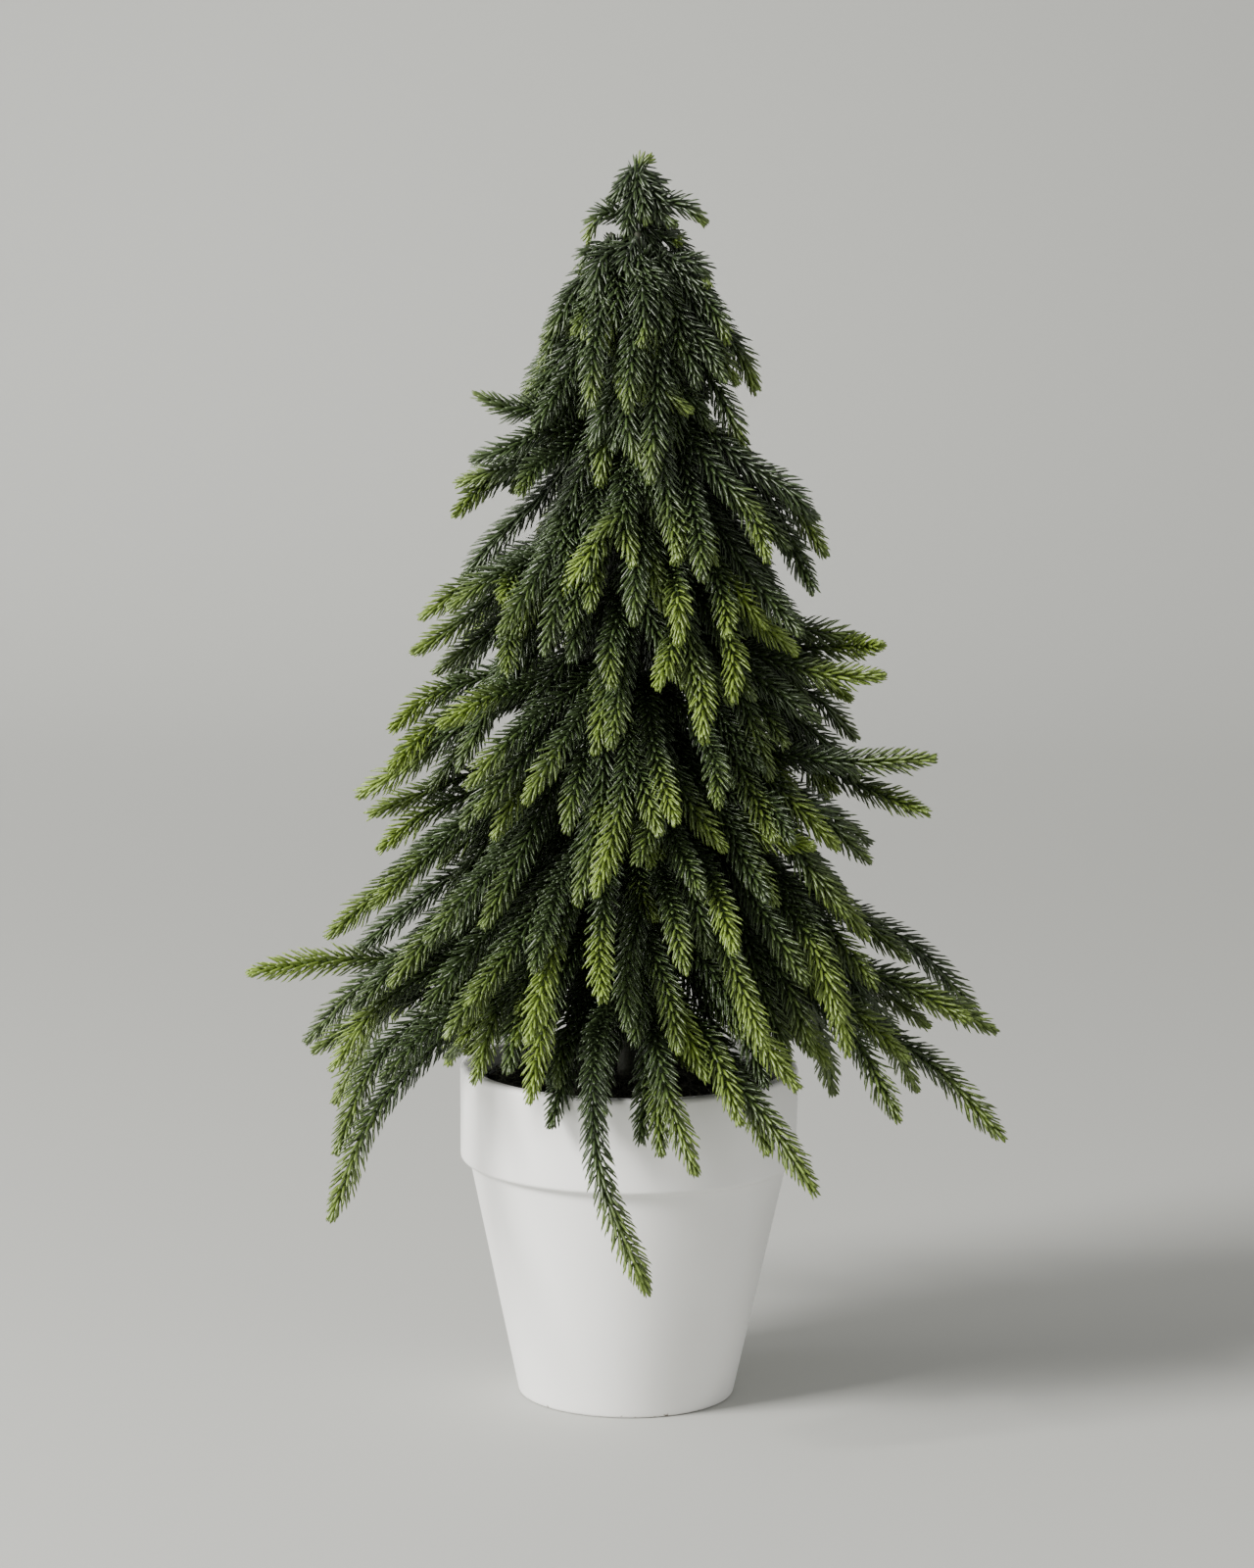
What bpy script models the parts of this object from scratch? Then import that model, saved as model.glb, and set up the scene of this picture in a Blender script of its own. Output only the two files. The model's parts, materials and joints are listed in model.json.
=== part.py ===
"""Artificial tabletop tree: moulded sprigs on wired boughs round a taped trunk, set in a small white pot.

Metres, +Z up. The origin is the middle of the pot's flat underside, and -Y is the tree's front.
"""

import math

import bmesh
import bpy
import numpy as np
from mathutils import Vector

# Driving sizes
TREE_HEIGHT = 0.500
FOLIAGE_REACH = 0.150
POT_HEIGHT = 0.1355
POT_RIM_RADIUS = 0.0683
POT_BASE_RADIUS = 0.0438
POT_WALL = 0.0060
TRUNK_ROD_RADIUS = 0.0015
SPRIG_RADIUS = 0.0024
CLEARANCE = 0.0003

# Pot
RIM_BAND_HEIGHT = 0.285 * POT_HEIGHT
POT_NECK_RADIUS = POT_RIM_RADIUS - 0.0043
POT_FLOOR = 0.0080
LIP_ROUND = 0.0022
LEDGE_ROUND = 0.0020
BASE_ROUND = 0.0016
TURNED_STEPS = 36

# Filling: each top is a fraction of the pot's height
BALLAST_TOP = 0.50 * POT_HEIGHT
FOAM_TOP = 0.87 * POT_HEIGHT
COVER_EDGE_TOP = 0.93 * POT_HEIGHT
COVER_MIDDLE_TOP = 0.965 * POT_HEIGHT
FILLING_CORNER = 0.0015

# Trunk
TRUNK_FOOT = 0.15 * POT_HEIGHT
TRUNK_TOP = 0.928 * TREE_HEIGHT
WRAP_FOOT_RADIUS = 0.0050
WRAP_TOP_RADIUS = 0.0026
WRAP_FOOT = COVER_MIDDLE_TOP + 2 * CLEARANCE
WRAP_TOP = TRUNK_TOP - 0.0030

# Boughs
STEM_RADIUS = 0.0019
LINE_POINTS = 5
TUBE_SIDES = 5
SPRIGS_PER_BOUGH = 6
FORK_REACH = 0.20
STEM_RISE = 0.10
BOW_EASE = 0.45
LOW_ARCH_HEIGHT = 6.5
SIDE_BOW = 16.0
BOUGH_GAP = 0.0009
EASY_SPACING = 0.0075
ROOT_SPACING = 0.0055
SPREADING_ROUNDS = 100
BACK_BOUGHS = 11
FIRST_BACK_NUMBER = 23
SEED = 7

# How far each low bough swings on the wire at its root, in degrees, downwards and upwards
LOW_SWING = (-12.0, 12.0)
SWING_STEP = 3.0

# Each bough has how steeply its sprigs hang (1 is the usual drop), then the tip of each sprig:
# azimuth in degrees (0 is the right, -90 the front), distance from the trunk in percent of the
# foliage's reach, height above the rim in percent of the foliage's height, and how far the
# sprig's middle is bowed out, in percent of its length. A fifth number is its bow sideways.
FRONT_BOUGHS = {
    "leader": (1.0, [(-66, 2, 100, 0), (-14, 18, 93.5, 22), (-168, 15, 91.5, 22), (80, 14, 92, 22)]),
    "bough_00_front": (1.0, [(-95, 13, 86, 12), (-130, 17, 84, 12), (-58, 15, 83, 12), (-80, 19, 79, 12)]),
    "bough_01_right": (1.0, [(-12, 20, 86.5, 14), (-22, 26, 80.5, 12), (-6, 32, 75, 12), (-50, 19, 78, 12)]),
    "bough_02_left": (1.0, [(-168, 16, 87.5, 12), (-172, 24, 80.5, 12), (-118, 17, 80, 12), (175, 25, 77, 10)]),
    "bough_03_front": (1.0, [(-85, 27, 67, 14), (-117, 25, 69.5, 14), (-60, 25, 73, 12), (-100, 24, 75, 10)]),
    "bough_04_left": (0.35, [(-166, 43, 74, -10), (-160, 45, 67.5, 10), (-172, 47, 64.5, 8), (-168, 49, 61.5, 8)]),
    "bough_05_right": (1.0, [(-16, 49, 61.5, 14), (-8, 51, 57.5, 12), (-22, 51, 54, 12), (-36, 40, 62, 12)]),
    "bough_06_front": (1.0, [(-92, 36, 57.5, 14), (-72, 38, 58, 14), (-118, 38, 54, 18), (-105, 37, 60, 12)]),
    "bough_07_left": (0.6, [(-168, 57, 50.5, 12), (-155, 53, 52, 12), (-140, 46, 53, 12), (-176, 58, 46, 10)]),
    "bough_08_right": (1.0, [(-38, 43, 50.5, 10), (-74, 42, 49.5, 10), (-24, 46, 46.5, 8), (-55, 44, 50, 10)]),
    "bough_09_right": (0.3, [(-12, 67, 47.5, -14), (-18, 68, 44.5, -8), (-4, 60, 48, 8), (-10, 58, 42, 12)]),
    "bough_10_front": (1.0, [(-81, 46, 45, 14), (-55, 47, 43.5, 16), (-68, 50, 39.5, 18), (-98, 46, 45, 12)]),
    "bough_11_left": (0.6, [(-166, 66, 38.5, 12), (-160, 68, 34.5, 12), (-172, 73, 30.5, 12), (-146, 60, 40, 10)]),
    "bough_12_front": (1.0, [(-119, 56, 33, 14), (-98, 63, 24, 16), (-135, 60, 34, 12), (-108, 55, 30, 10)]),
    "bough_13_front": (1.0, [(-80, 57, 31, 14), (-88, 58, 27, 12), (-66, 56, 33, 12), (-73, 60, 23.5, -12)]),
    "bough_14_right": (0.5, [(-14, 81, 35.5, -6), (-10, 79, 29.5, 6), (-20, 66, 25, 14), (-30, 62, 27, 24)]),
    "bough_15_left": (0.7, [(-164, 83, 16, 8), (-170, 68, 25, 10), (-156, 74, 20, 8), (-178, 70, 28, 10)]),
    "bough_16_right": (1.0, [(-41, 61, 27, -14), (-33, 67, 20, 14), (-26, 69, 17, 16), (-52, 60, 22, 12)]),
    "bough_17_front": (1.0, [(-67, 68, 18, 6), (-62, 73, 8, 12), (-78, 66, 16, 12), (-50, 70, 14, 12)]),
    "bough_18_front": (1.0, [(-111, 70, 16, 12), (-130, 73, 8, 14), (-96, 72, 13.5, 12), (-110, 76, 9, 16)]),
    "bough_19_right": (1.0, [(-44, 76, 10, 18), (-40, 75, 6, 16), (-28, 74, 12, 14), (-15, 76, 14, 10)]),
    "bough_20_left": (1.0, [(-150, 72, 12, 12), (-162, 76, 8, 12), (178, 74, 12, 12), (-140, 70, 10, 10)]),
    "bough_21_front": (0.7, [(-114, 64, 1.5, 14), (-128, 66, 3, 14), (-120, 60, 7, 12), (-138, 60, 6, 12)]),
    "bough_22_front": (0.7, [(-54, 72, 3, 14, -10), (-72, 62, 4, 16, -14), (-38, 66, 4, 12, -6), (-62, 58, 7, 12)]),
    "low_bough_left": (0.6, [(-166, 103, 12, 4), (-162, 83, 2, 16), (-150, 89, -5.5, 18), (-146, 94, -12, 16)]),
    "low_bough_right": (0.6, [(-14, 92, 7.5, 6), (-8, 98, 5.5, 6), (-16, 103, -5, 8), (-34, 85, -1, 16)]),
    "low_bough_front": (0.9, [(-87, 74, -18, 30, -16), (-77, 73, -5, 22, -8), (-52, 78, -8, 20, -10), (-66, 70, 0, 20, -4)]),
}
BOW_LIMITS = (0.08, 0.16)
HINGED = ("low_bough_left", "low_bough_right", "low_bough_front", "low_bough_back_left", "low_bough_back_right")

CERAMIC_WHITE = ("pot_white", (0.77, 0.77, 0.745), 0.42, 0.0)
PLASTER = ("plaster", (0.62, 0.60, 0.56), 0.90, 0.0)
FOAM = ("floral_foam", (0.10, 0.16, 0.07), 0.95, 0.0)
FIBRE = ("dark_fibre", (0.030, 0.026, 0.016), 0.95, 0.0)
STEEL = ("trunk_steel", (0.30, 0.29, 0.28), 0.40, 1.0)
TAPE = ("brown_tape", (0.035, 0.028, 0.018), 0.75, 0.0)
FOLIAGE = ("foliage", (0.050, 0.105, 0.028), 0.42, 0.0)


def clear_scene():
    for obj in list(bpy.data.objects):
        bpy.data.objects.remove(obj, do_unlink=True)


def make_collection(name):
    collection = bpy.data.collections.new(name)
    bpy.context.scene.collection.children.link(collection)
    return collection


def make_material(look):
    name, colour, roughness, metallic = look
    found = bpy.data.materials.get(name)
    if found:
        return found
    material = bpy.data.materials.new(name)
    material.use_nodes = True
    shader = material.node_tree.nodes["Principled BSDF"]
    shader.inputs["Base Color"].default_value = (*colour, 1.0)
    shader.inputs["Roughness"].default_value = roughness
    shader.inputs["Metallic"].default_value = metallic
    material.diffuse_color = (*colour, 1.0)
    return material


def add_object(name, mesh, collection, look):
    obj = bpy.data.objects.new(name, mesh)
    collection.objects.link(obj)
    mesh.materials.append(make_material(look))
    return obj


def shade_smooth(mesh):
    mesh.polygons.foreach_set("use_smooth", [True] * len(mesh.polygons))


# Turned pieces


def arc(centre, radius, start, end, steps):
    """Points (r, z) on a round from one angle to another, in degrees."""
    angles = np.radians(np.linspace(start, end, steps + 1))
    return [(centre[0] + radius * math.cos(a), centre[1] + radius * math.sin(a)) for a in angles]


def turned(name, profile, collection, look, steps):
    """Spins a profile (r, z) once round the Z axis; the profile runs down its outer side."""
    mesh = bpy.data.meshes.new(name)
    points = [(r, 0.0, z) for r, z in profile]
    ends_meet = profile[0][0] > 0
    edges = [(i, i + 1) for i in range(len(points) - 1)]
    if ends_meet:
        edges.append((len(points) - 1, 0))
    mesh.from_pydata(points, edges, [])
    obj = add_object(name, mesh, collection, look)
    screw = obj.modifiers.new("turn", "SCREW")
    screw.axis = "Z"
    screw.steps = steps
    screw.render_steps = steps
    screw.use_merge_vertices = True
    screw.merge_threshold = 0.00005
    screw.use_smooth_shade = True
    return obj


def pot_inner_radius(z):
    """The inside of the pot's wall at a height."""
    floor_radius = POT_BASE_RADIUS + (POT_NECK_RADIUS - POT_BASE_RADIUS) * POT_FLOOR / POT_HEIGHT - POT_WALL
    mouth_radius = POT_RIM_RADIUS - POT_WALL
    return floor_radius + (mouth_radius - floor_radius) * (z - POT_FLOOR) / (POT_HEIGHT - POT_FLOOR)


def make_pot(collection):
    ledge = POT_HEIGHT - RIM_BAND_HEIGHT
    band_radius = POT_RIM_RADIUS - 0.0004
    profile = [(0.0, POT_FLOOR)]
    profile += [(pot_inner_radius(POT_FLOOR) - 0.003, POT_FLOOR)]
    profile += [(pot_inner_radius(POT_FLOOR + 0.003), POT_FLOOR + 0.003)]
    profile += arc((pot_inner_radius(POT_HEIGHT) + LIP_ROUND, POT_HEIGHT - LIP_ROUND), LIP_ROUND, 180, 90, 3)
    profile += arc((POT_RIM_RADIUS - LIP_ROUND, POT_HEIGHT - LIP_ROUND), LIP_ROUND, 90, 0, 4)
    profile += arc((band_radius - LEDGE_ROUND, ledge + LEDGE_ROUND), LEDGE_ROUND, 0, -80, 3)
    profile += [(POT_NECK_RADIUS + 0.0006, ledge - 0.0004), (POT_NECK_RADIUS - 0.0002, ledge - 0.0022)]
    profile += arc((POT_BASE_RADIUS - BASE_ROUND, BASE_ROUND), BASE_ROUND, -12, -90, 3)
    profile += [(0.0, 0.0)]
    return turned("pot", profile, collection, CERAMIC_WHITE, TURNED_STEPS)


def filling_profile(bottom, top_edge, top_middle, bore, bore_bottom=None):
    """A plug that fits the pot with a clearance; the trunk's hole is through, or blind if its bottom is given."""
    lower = pot_inner_radius(bottom) - CLEARANCE
    upper = pot_inner_radius(top_edge) - CLEARANCE
    outside = [(upper - FILLING_CORNER, top_edge), (upper, top_edge - FILLING_CORNER)]
    if bottom < POT_FLOOR + 0.004:
        outside += [(pot_inner_radius(bottom + 0.004) - CLEARANCE, bottom + 0.004), (lower - 0.004, bottom)]
    else:
        outside += [(lower, bottom)]
    if bore_bottom is None:
        return [(bore, top_middle)] + outside + [(bore, bottom)]
    return [(0.0, bore_bottom), (bore, bore_bottom), (bore, top_middle)] + outside + [(0.0, bottom)]


def make_filling(collection):
    bore = TRUNK_ROD_RADIUS + CLEARANCE
    ballast_foot = POT_FLOOR + CLEARANCE
    ballast = filling_profile(ballast_foot, BALLAST_TOP, BALLAST_TOP, bore, TRUNK_FOOT - CLEARANCE)
    turned("plaster_ballast", ballast, collection, PLASTER, TURNED_STEPS)
    foam = filling_profile(BALLAST_TOP + CLEARANCE, FOAM_TOP, FOAM_TOP, bore)
    turned("foam_plug", foam, collection, FOAM, TURNED_STEPS)
    cover = filling_profile(FOAM_TOP + CLEARANCE, COVER_EDGE_TOP, COVER_MIDDLE_TOP, bore)
    turned("fibre_cover", cover, collection, FIBRE, TURNED_STEPS)


def wrap_radius(z):
    """The taped trunk's radius at a height: thick where all the boughs' wires are bound in, thin at the top."""
    share = (z - WRAP_FOOT) / (WRAP_TOP - WRAP_FOOT)
    return WRAP_FOOT_RADIUS + (WRAP_TOP_RADIUS - WRAP_FOOT_RADIUS) * min(max(share, 0.0), 1.0)


def make_trunk(collection):
    dome = 0.5 * TRUNK_ROD_RADIUS
    rod = [(0.0, TRUNK_TOP), (TRUNK_ROD_RADIUS - dome, TRUNK_TOP), (TRUNK_ROD_RADIUS, TRUNK_TOP - dome)]
    rod += [(TRUNK_ROD_RADIUS, TRUNK_FOOT), (0.0, TRUNK_FOOT)]
    turned("trunk_rod", rod, collection, STEEL, 16)
    bore = TRUNK_ROD_RADIUS + CLEARANCE
    levels = np.linspace(WRAP_TOP - 0.001, WRAP_FOOT + 0.001, 4)
    wrap = [(bore, WRAP_TOP), (WRAP_TOP_RADIUS - 0.0004, WRAP_TOP)]
    wrap += [(wrap_radius(z), z) for z in levels]
    wrap += [(WRAP_FOOT_RADIUS - 0.0006, WRAP_FOOT), (bore, WRAP_FOOT)]
    turned("trunk_wrap", wrap, collection, TAPE, 16)


# Boughs


def place(azimuth, reach, height):
    """The point for an azimuth in degrees, a reach in percent and a height above the rim in percent."""
    radius = reach / 100 * FOLIAGE_REACH
    angle = math.radians(azimuth)
    z = POT_HEIGHT + height / 100 * (TREE_HEIGHT - POT_HEIGHT)
    return np.array([radius * math.cos(angle), radius * math.sin(angle), z])


def envelope(height):
    """The foliage's reach in percent at a height in percent: a cone that runs straight down near the pot."""
    return min(8 + 0.78 * (100 - height), 66.0)


def middle_azimuth(tips):
    x = sum(tip[1] * math.cos(math.radians(tip[0])) for tip in tips)
    y = sum(tip[1] * math.sin(math.radians(tip[0])) for tip in tips)
    return math.degrees(math.atan2(y, x))


def back_boughs(rng):
    """The far side: boughs stepped round it by the golden ratio, each a fan of sprigs down the cone."""
    boughs = {}
    for index in range(BACK_BOUGHS):
        share = (index + 0.5) / BACK_BOUGHS
        height = 86 * (1 - share) ** 1.15 + 2
        azimuth = 90 + 78 * (2 * ((index * 0.618 + 0.3) % 1.0) - 1)
        tips = []
        for turn in (-24, -9, 8, 22):
            reach = envelope(height) * rng.uniform(0.84, 1.02)
            drop = rng.uniform(-5, 5) - 0.05 * abs(turn)
            tips.append((azimuth + turn, reach, height + drop, 100 * rng.uniform(*BOW_LIMITS)))
        boughs[f"bough_{index + FIRST_BACK_NUMBER}_back"] = (1.0, tips)
    for name, azimuth in (("low_bough_back_left", 138), ("low_bough_back_right", 40)):
        tips = []
        for turn, height in ((-30, 4), (-12, -6), (10, -9), (30, 1)):
            tips.append((azimuth + turn, rng.uniform(84, 98), height, 14))
        boughs[name] = (0.9, tips)
    return boughs


def filled_out(tips, rng):
    """Adds under-sprigs between and below the given tips, and a sideways bow to every tip without one."""
    azimuth = middle_azimuth(tips)
    reach = sum(tip[1] for tip in tips) / len(tips)
    height = sum(tip[2] for tip in tips) / len(tips)
    whole = list(tips)
    side = 1
    while len(whole) < SPRIGS_PER_BOUGH:
        turn = side * (rng.uniform(12, 34) if height > 8 else rng.uniform(3, 15))
        sink = rng.uniform(-6, 0) if height > 8 else rng.uniform(2, 6)
        whole.append((azimuth + turn, reach * rng.uniform(0.84, 0.96), height + sink, 11))
        side = -side
    wander = SIDE_BOW * min(max((height - LOW_ARCH_HEIGHT) / 30, 0.0), 1.0)
    return [tip if len(tip) == 5 else (*tip, rng.uniform(-wander, wander)) for tip in whole]


def curve_points(start, control, end, count):
    """Points on the quadratic curve from start to end that leans towards its control point."""
    t = np.linspace(0, 1, count)[:, None]
    return (1 - t) ** 2 * start + 2 * t * (1 - t) * control + t**2 * end


def hand_middle(tips):
    """The mean reach in metres and the mean height of a bough's tips."""
    reach = sum(tip[1] for tip in tips) / len(tips) / 100 * FOLIAGE_REACH
    height = place(0, 0, sum(tip[2] for tip in tips) / len(tips))[2]
    return reach, height


def fork_height(drop, tips):
    """The height at which a bough's hand of sprigs opens, above the tips that hang from it."""
    reach, height = hand_middle(tips)
    fall = drop * (0.07 * (TREE_HEIGHT - POT_HEIGHT) + 0.40 * reach)
    return min(max(height + fall, POT_HEIGHT + 0.020), TREE_HEIGHT - 0.015)


def stem_line(drop, tips, root_height):
    """The wired stem: it leaves the trunk, rises, and ends where the hand of sprigs opens."""
    azimuth = middle_azimuth(tips)
    outward = np.array([math.cos(math.radians(azimuth)), math.sin(math.radians(azimuth)), 0.0])
    reach, _ = hand_middle(tips)
    root_radius = wrap_radius(root_height) + CLEARANCE + STEM_RADIUS
    root = outward * root_radius + np.array([0, 0, root_height])
    fork = outward * max(FORK_REACH * reach, root_radius + 0.006) + np.array([0, 0, fork_height(drop, tips)])
    lifted = 0.5 * (root + fork) + np.array([0, 0, 0.03 * reach])
    return curve_points(root, lifted, fork, LINE_POINTS)


def sprig_line(stem, share, tip):
    """One sprig's centre line, from its place along the stem to its tip, bowed up, outwards and sideways."""
    azimuth, reach, height, bow, side = tip
    index = share * (LINE_POINTS - 1)
    low = min(int(index), LINE_POINTS - 2)
    start = stem[low] + (index - low) * (stem[low + 1] - stem[low])
    end = place(azimuth, reach, height)
    chord = end - start
    length = np.linalg.norm(chord)
    outward = np.array([math.cos(math.radians(azimuth)), math.sin(math.radians(azimuth)), 0.0])
    lift = np.array([0, 0, 1.0]) + 0.6 * outward
    lift = lift - chord * (lift @ chord) / length**2
    lift = lift / max(np.linalg.norm(lift), 0.2)
    arch = bow if height < LOW_ARCH_HEIGHT else BOW_EASE * bow
    across = np.array([-outward[1], outward[0], 0.0])
    control = 0.5 * (start + end) + 2 * length / 100 * (arch * lift + side * across)
    return curve_points(start, control, end, LINE_POINTS)


def root_heights(boughs):
    """Where each bough's wire leaves the trunk: below its fork, with room between one root and the next."""
    wanted = {}
    for name, (drop, tips) in boughs.items():
        reach, _ = hand_middle(tips)
        wanted[name] = min(fork_height(drop, tips) - STEM_RISE * reach, WRAP_TOP - 0.003)
    order = sorted(wanted, key=lambda name: -wanted[name])
    lowest = WRAP_FOOT + 0.006
    heights = {}
    above = WRAP_TOP + ROOT_SPACING
    for index, name in enumerate(order):
        floor = lowest + ROOT_SPACING * (len(order) - 1 - index)
        above = max(min(wanted[name], above - ROOT_SPACING), floor)
        heights[name] = above
    return heights


class Lines:
    """Every stem and sprig as a centre line of LINE_POINTS points, with its bough, radii and freedom to move."""

    def __init__(self, boughs, rng):
        self.names = list(boughs)
        heights = root_heights(boughs)
        points, owner, is_stem = [], [], []
        for index, name in enumerate(self.names):
            drop, listed = boughs[name]
            tips = filled_out(listed, rng)
            stem = leader_stem() if name == "leader" else stem_line(drop, tips, heights[name])
            points.append(stem)
            owner.append(index)
            is_stem.append(True)
            for place_in_hand, tip in enumerate(tips):
                share = 0.97 - 0.15 * place_in_hand
                points.append(sprig_line(stem, share, tip))
                owner.append(index)
                is_stem.append(False)
        self.points = np.array(points)
        self.owner = np.array(owner)
        self.is_stem = np.array(is_stem)
        taper = SPRIG_RADIUS * np.array([0.45, 0.75, 1.0, 0.95, 0.50])
        self.radii = np.where(self.is_stem[:, None], STEM_RADIUS, taper[None, :])
        free = np.array([0.0, 0.4, 0.9, 1.0, 1.0])
        self.free = np.where(self.is_stem[:, None], 0.0, free[None, :])

    def hinge(self, index):
        """The pivot and axis of a bough's root; a positive turn lifts the bough."""
        stem = self.points[(self.owner == index) & self.is_stem][0]
        outward = stem[-1] - stem[0]
        outward = np.array([outward[0], outward[1], 0.0]) / np.hypot(outward[0], outward[1])
        return stem[0], np.array([outward[1], -outward[0], 0.0])


def leader_stem():
    """The top sprig's short stem stands on the trunk's end."""
    low = TRUNK_TOP + CLEARANCE + STEM_RADIUS
    high = low + 0.045 * (TREE_HEIGHT - POT_HEIGHT)
    return np.linspace([0, 0, low], [0, 0, high], LINE_POINTS)


def turn_matrix(axis, degrees):
    """Rotation about a unit axis."""
    angle = math.radians(degrees)
    x, y, z = axis
    cross = np.array([[0, -z, y], [z, 0, -x], [-y, x, 0]])
    return np.eye(3) + math.sin(angle) * cross + (1 - math.cos(angle)) * cross @ cross


def nearest_on_pairs(p, u, q, v):
    """For segments p + s u and q + t v, the shares s and t where they come nearest."""
    w = p - q
    a = np.einsum("ij,ij->i", u, u) + 1e-12
    b = np.einsum("ij,ij->i", u, v)
    c = np.einsum("ij,ij->i", v, v) + 1e-12
    d = np.einsum("ij,ij->i", u, w)
    e = np.einsum("ij,ij->i", v, w)
    denominator = np.maximum(a * c - b * b, 1e-12 * a * c)
    s = np.clip((b * e - c * d) / denominator, 0, 1)
    t = np.clip((b * s + e) / c, 0, 1)
    s = np.clip((b * t - d) / a, 0, 1)
    return s, t


def pushes_between(first, second, pairs, radii_first, radii_second, spacing, stiffness):
    """How far each point of the first and of the second set must move for their lines to be spaced."""
    push_first = np.zeros_like(first)
    push_second = np.zeros_like(second)
    steps = np.arange(LINE_POINTS - 1)
    i, j = pairs
    i = np.repeat(i, (LINE_POINTS - 1) ** 2)
    j = np.repeat(j, (LINE_POINTS - 1) ** 2)
    m = np.tile(np.repeat(steps, LINE_POINTS - 1), len(pairs[0]))
    n = np.tile(np.tile(steps, LINE_POINTS - 1), len(pairs[0]))
    p, q = first[i, m], second[j, n]
    u, v = first[i, m + 1] - p, second[j, n + 1] - q
    s, t = nearest_on_pairs(p, u, q, v)
    apart = (p + s[:, None] * u) - (q + t[:, None] * v)
    distance = np.linalg.norm(apart, axis=1)
    radius = np.maximum(radii_first[i, m], radii_first[i, m + 1])
    radius = radius + np.maximum(radii_second[j, n], radii_second[j, n + 1])
    wanted = np.maximum(radius + BOUGH_GAP, spacing)
    short = np.maximum(wanted - distance, 0) * stiffness
    near = short > 0
    away = apart[near] / np.maximum(distance[near], 1e-6)[:, None] * short[near][:, None] * 0.5
    s, t = s[near][:, None], t[near][:, None]
    i, j, m, n = i[near], j[near], m[near], n[near]
    np.add.at(push_first, (i, m), away * (1 - s))
    np.add.at(push_first, (i, m + 1), away * s)
    np.add.at(push_second, (j, n), -away * (1 - t))
    np.add.at(push_second, (j, n + 1), -away * t)
    return push_first, push_second


def close_pairs(first, second, owner_first, owner_second, same_set):
    """Pairs of lines from different boughs whose surrounding balls come near each other."""
    middle_first, middle_second = first.mean(1), second.mean(1)
    size_first = np.linalg.norm(first - middle_first[:, None], axis=2).max(1)
    size_second = np.linalg.norm(second - middle_second[:, None], axis=2).max(1)
    distance = np.linalg.norm(middle_first[:, None] - middle_second[None], axis=2)
    near = distance < size_first[:, None] + size_second[None] + 2 * SPRIG_RADIUS + BOUGH_GAP
    near &= owner_first[:, None] != owner_second[None]
    if same_set:
        near = np.triu(near, 1)
    return np.nonzero(near)


def pot_push(points, radii):
    """Moves lines off the pot: each stretch is tried at a few places along it."""
    push = 2 * push_off_pot(points, radii)
    for share in (0.25, 0.5, 0.75):
        between = (1 - share) * points[:, :-1] + share * points[:, 1:]
        thicker = np.maximum(radii[:, :-1], radii[:, 1:])
        part = push_off_pot(between, thicker)
        push[:, :-1] += (1 - share) * part
        push[:, 1:] += share * part
    return 0.5 * push


def push_off_pot(points, radii):
    """Moves points off the pot: up from its mouth, or outwards from its side, whichever is nearer."""
    room = radii + 0.0012
    radius = np.hypot(points[..., 0], points[..., 1])
    outer = POT_RIM_RADIUS + room
    above = POT_HEIGHT + room
    up = above - points[..., 2]
    out = outer - radius
    inside = (up > 0) & (out > 0)
    go_up = inside & ((up < out) | (radius < pot_inner_radius(POT_HEIGHT)))
    go_out = inside & ~go_up
    push = np.zeros_like(points)
    push[..., 2] = np.where(go_up, up, 0)
    scale = np.where(go_out, out / np.maximum(radius, 1e-6), 0)
    push[..., 0] = points[..., 0] * scale
    push[..., 1] = points[..., 1] * scale
    return push


def trunk_push(points, radii):
    """Moves points off the trunk."""
    radius = np.hypot(points[..., 0], points[..., 1])
    below_top = points[..., 2] < TRUNK_TOP + 0.002
    out = np.where(below_top, WRAP_FOOT_RADIUS + radii + 0.0008 - radius, 0)
    scale = np.maximum(out, 0) / np.maximum(radius, 1e-6)
    push = np.zeros_like(points)
    push[..., 0] = points[..., 0] * scale
    push[..., 1] = points[..., 1] * scale
    return push


def swing_views(lines):
    """Each step of the low boughs' swing: the rows of their lines, and the pivot and turn of each row."""
    count = round((LOW_SWING[1] - LOW_SWING[0]) / SWING_STEP)
    views = []
    for degrees in np.linspace(*LOW_SWING, count + 1):
        rows, pivots, matrices = [], [], []
        for index, name in enumerate(lines.names):
            if name not in HINGED:
                continue
            pivot, axis = lines.hinge(index)
            for row in np.nonzero(lines.owner == index)[0]:
                rows.append(row)
                pivots.append(pivot)
                matrices.append(turn_matrix(axis, degrees))
        if rows and abs(degrees) > 0.01:
            views.append((np.array(rows), np.array(pivots), np.array(matrices)))
    return views


def turned_back(push, matrices):
    """Pushes found on swung lines, as they act on the same lines at rest."""
    return np.einsum("nji,nkj->nki", matrices, push)


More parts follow.
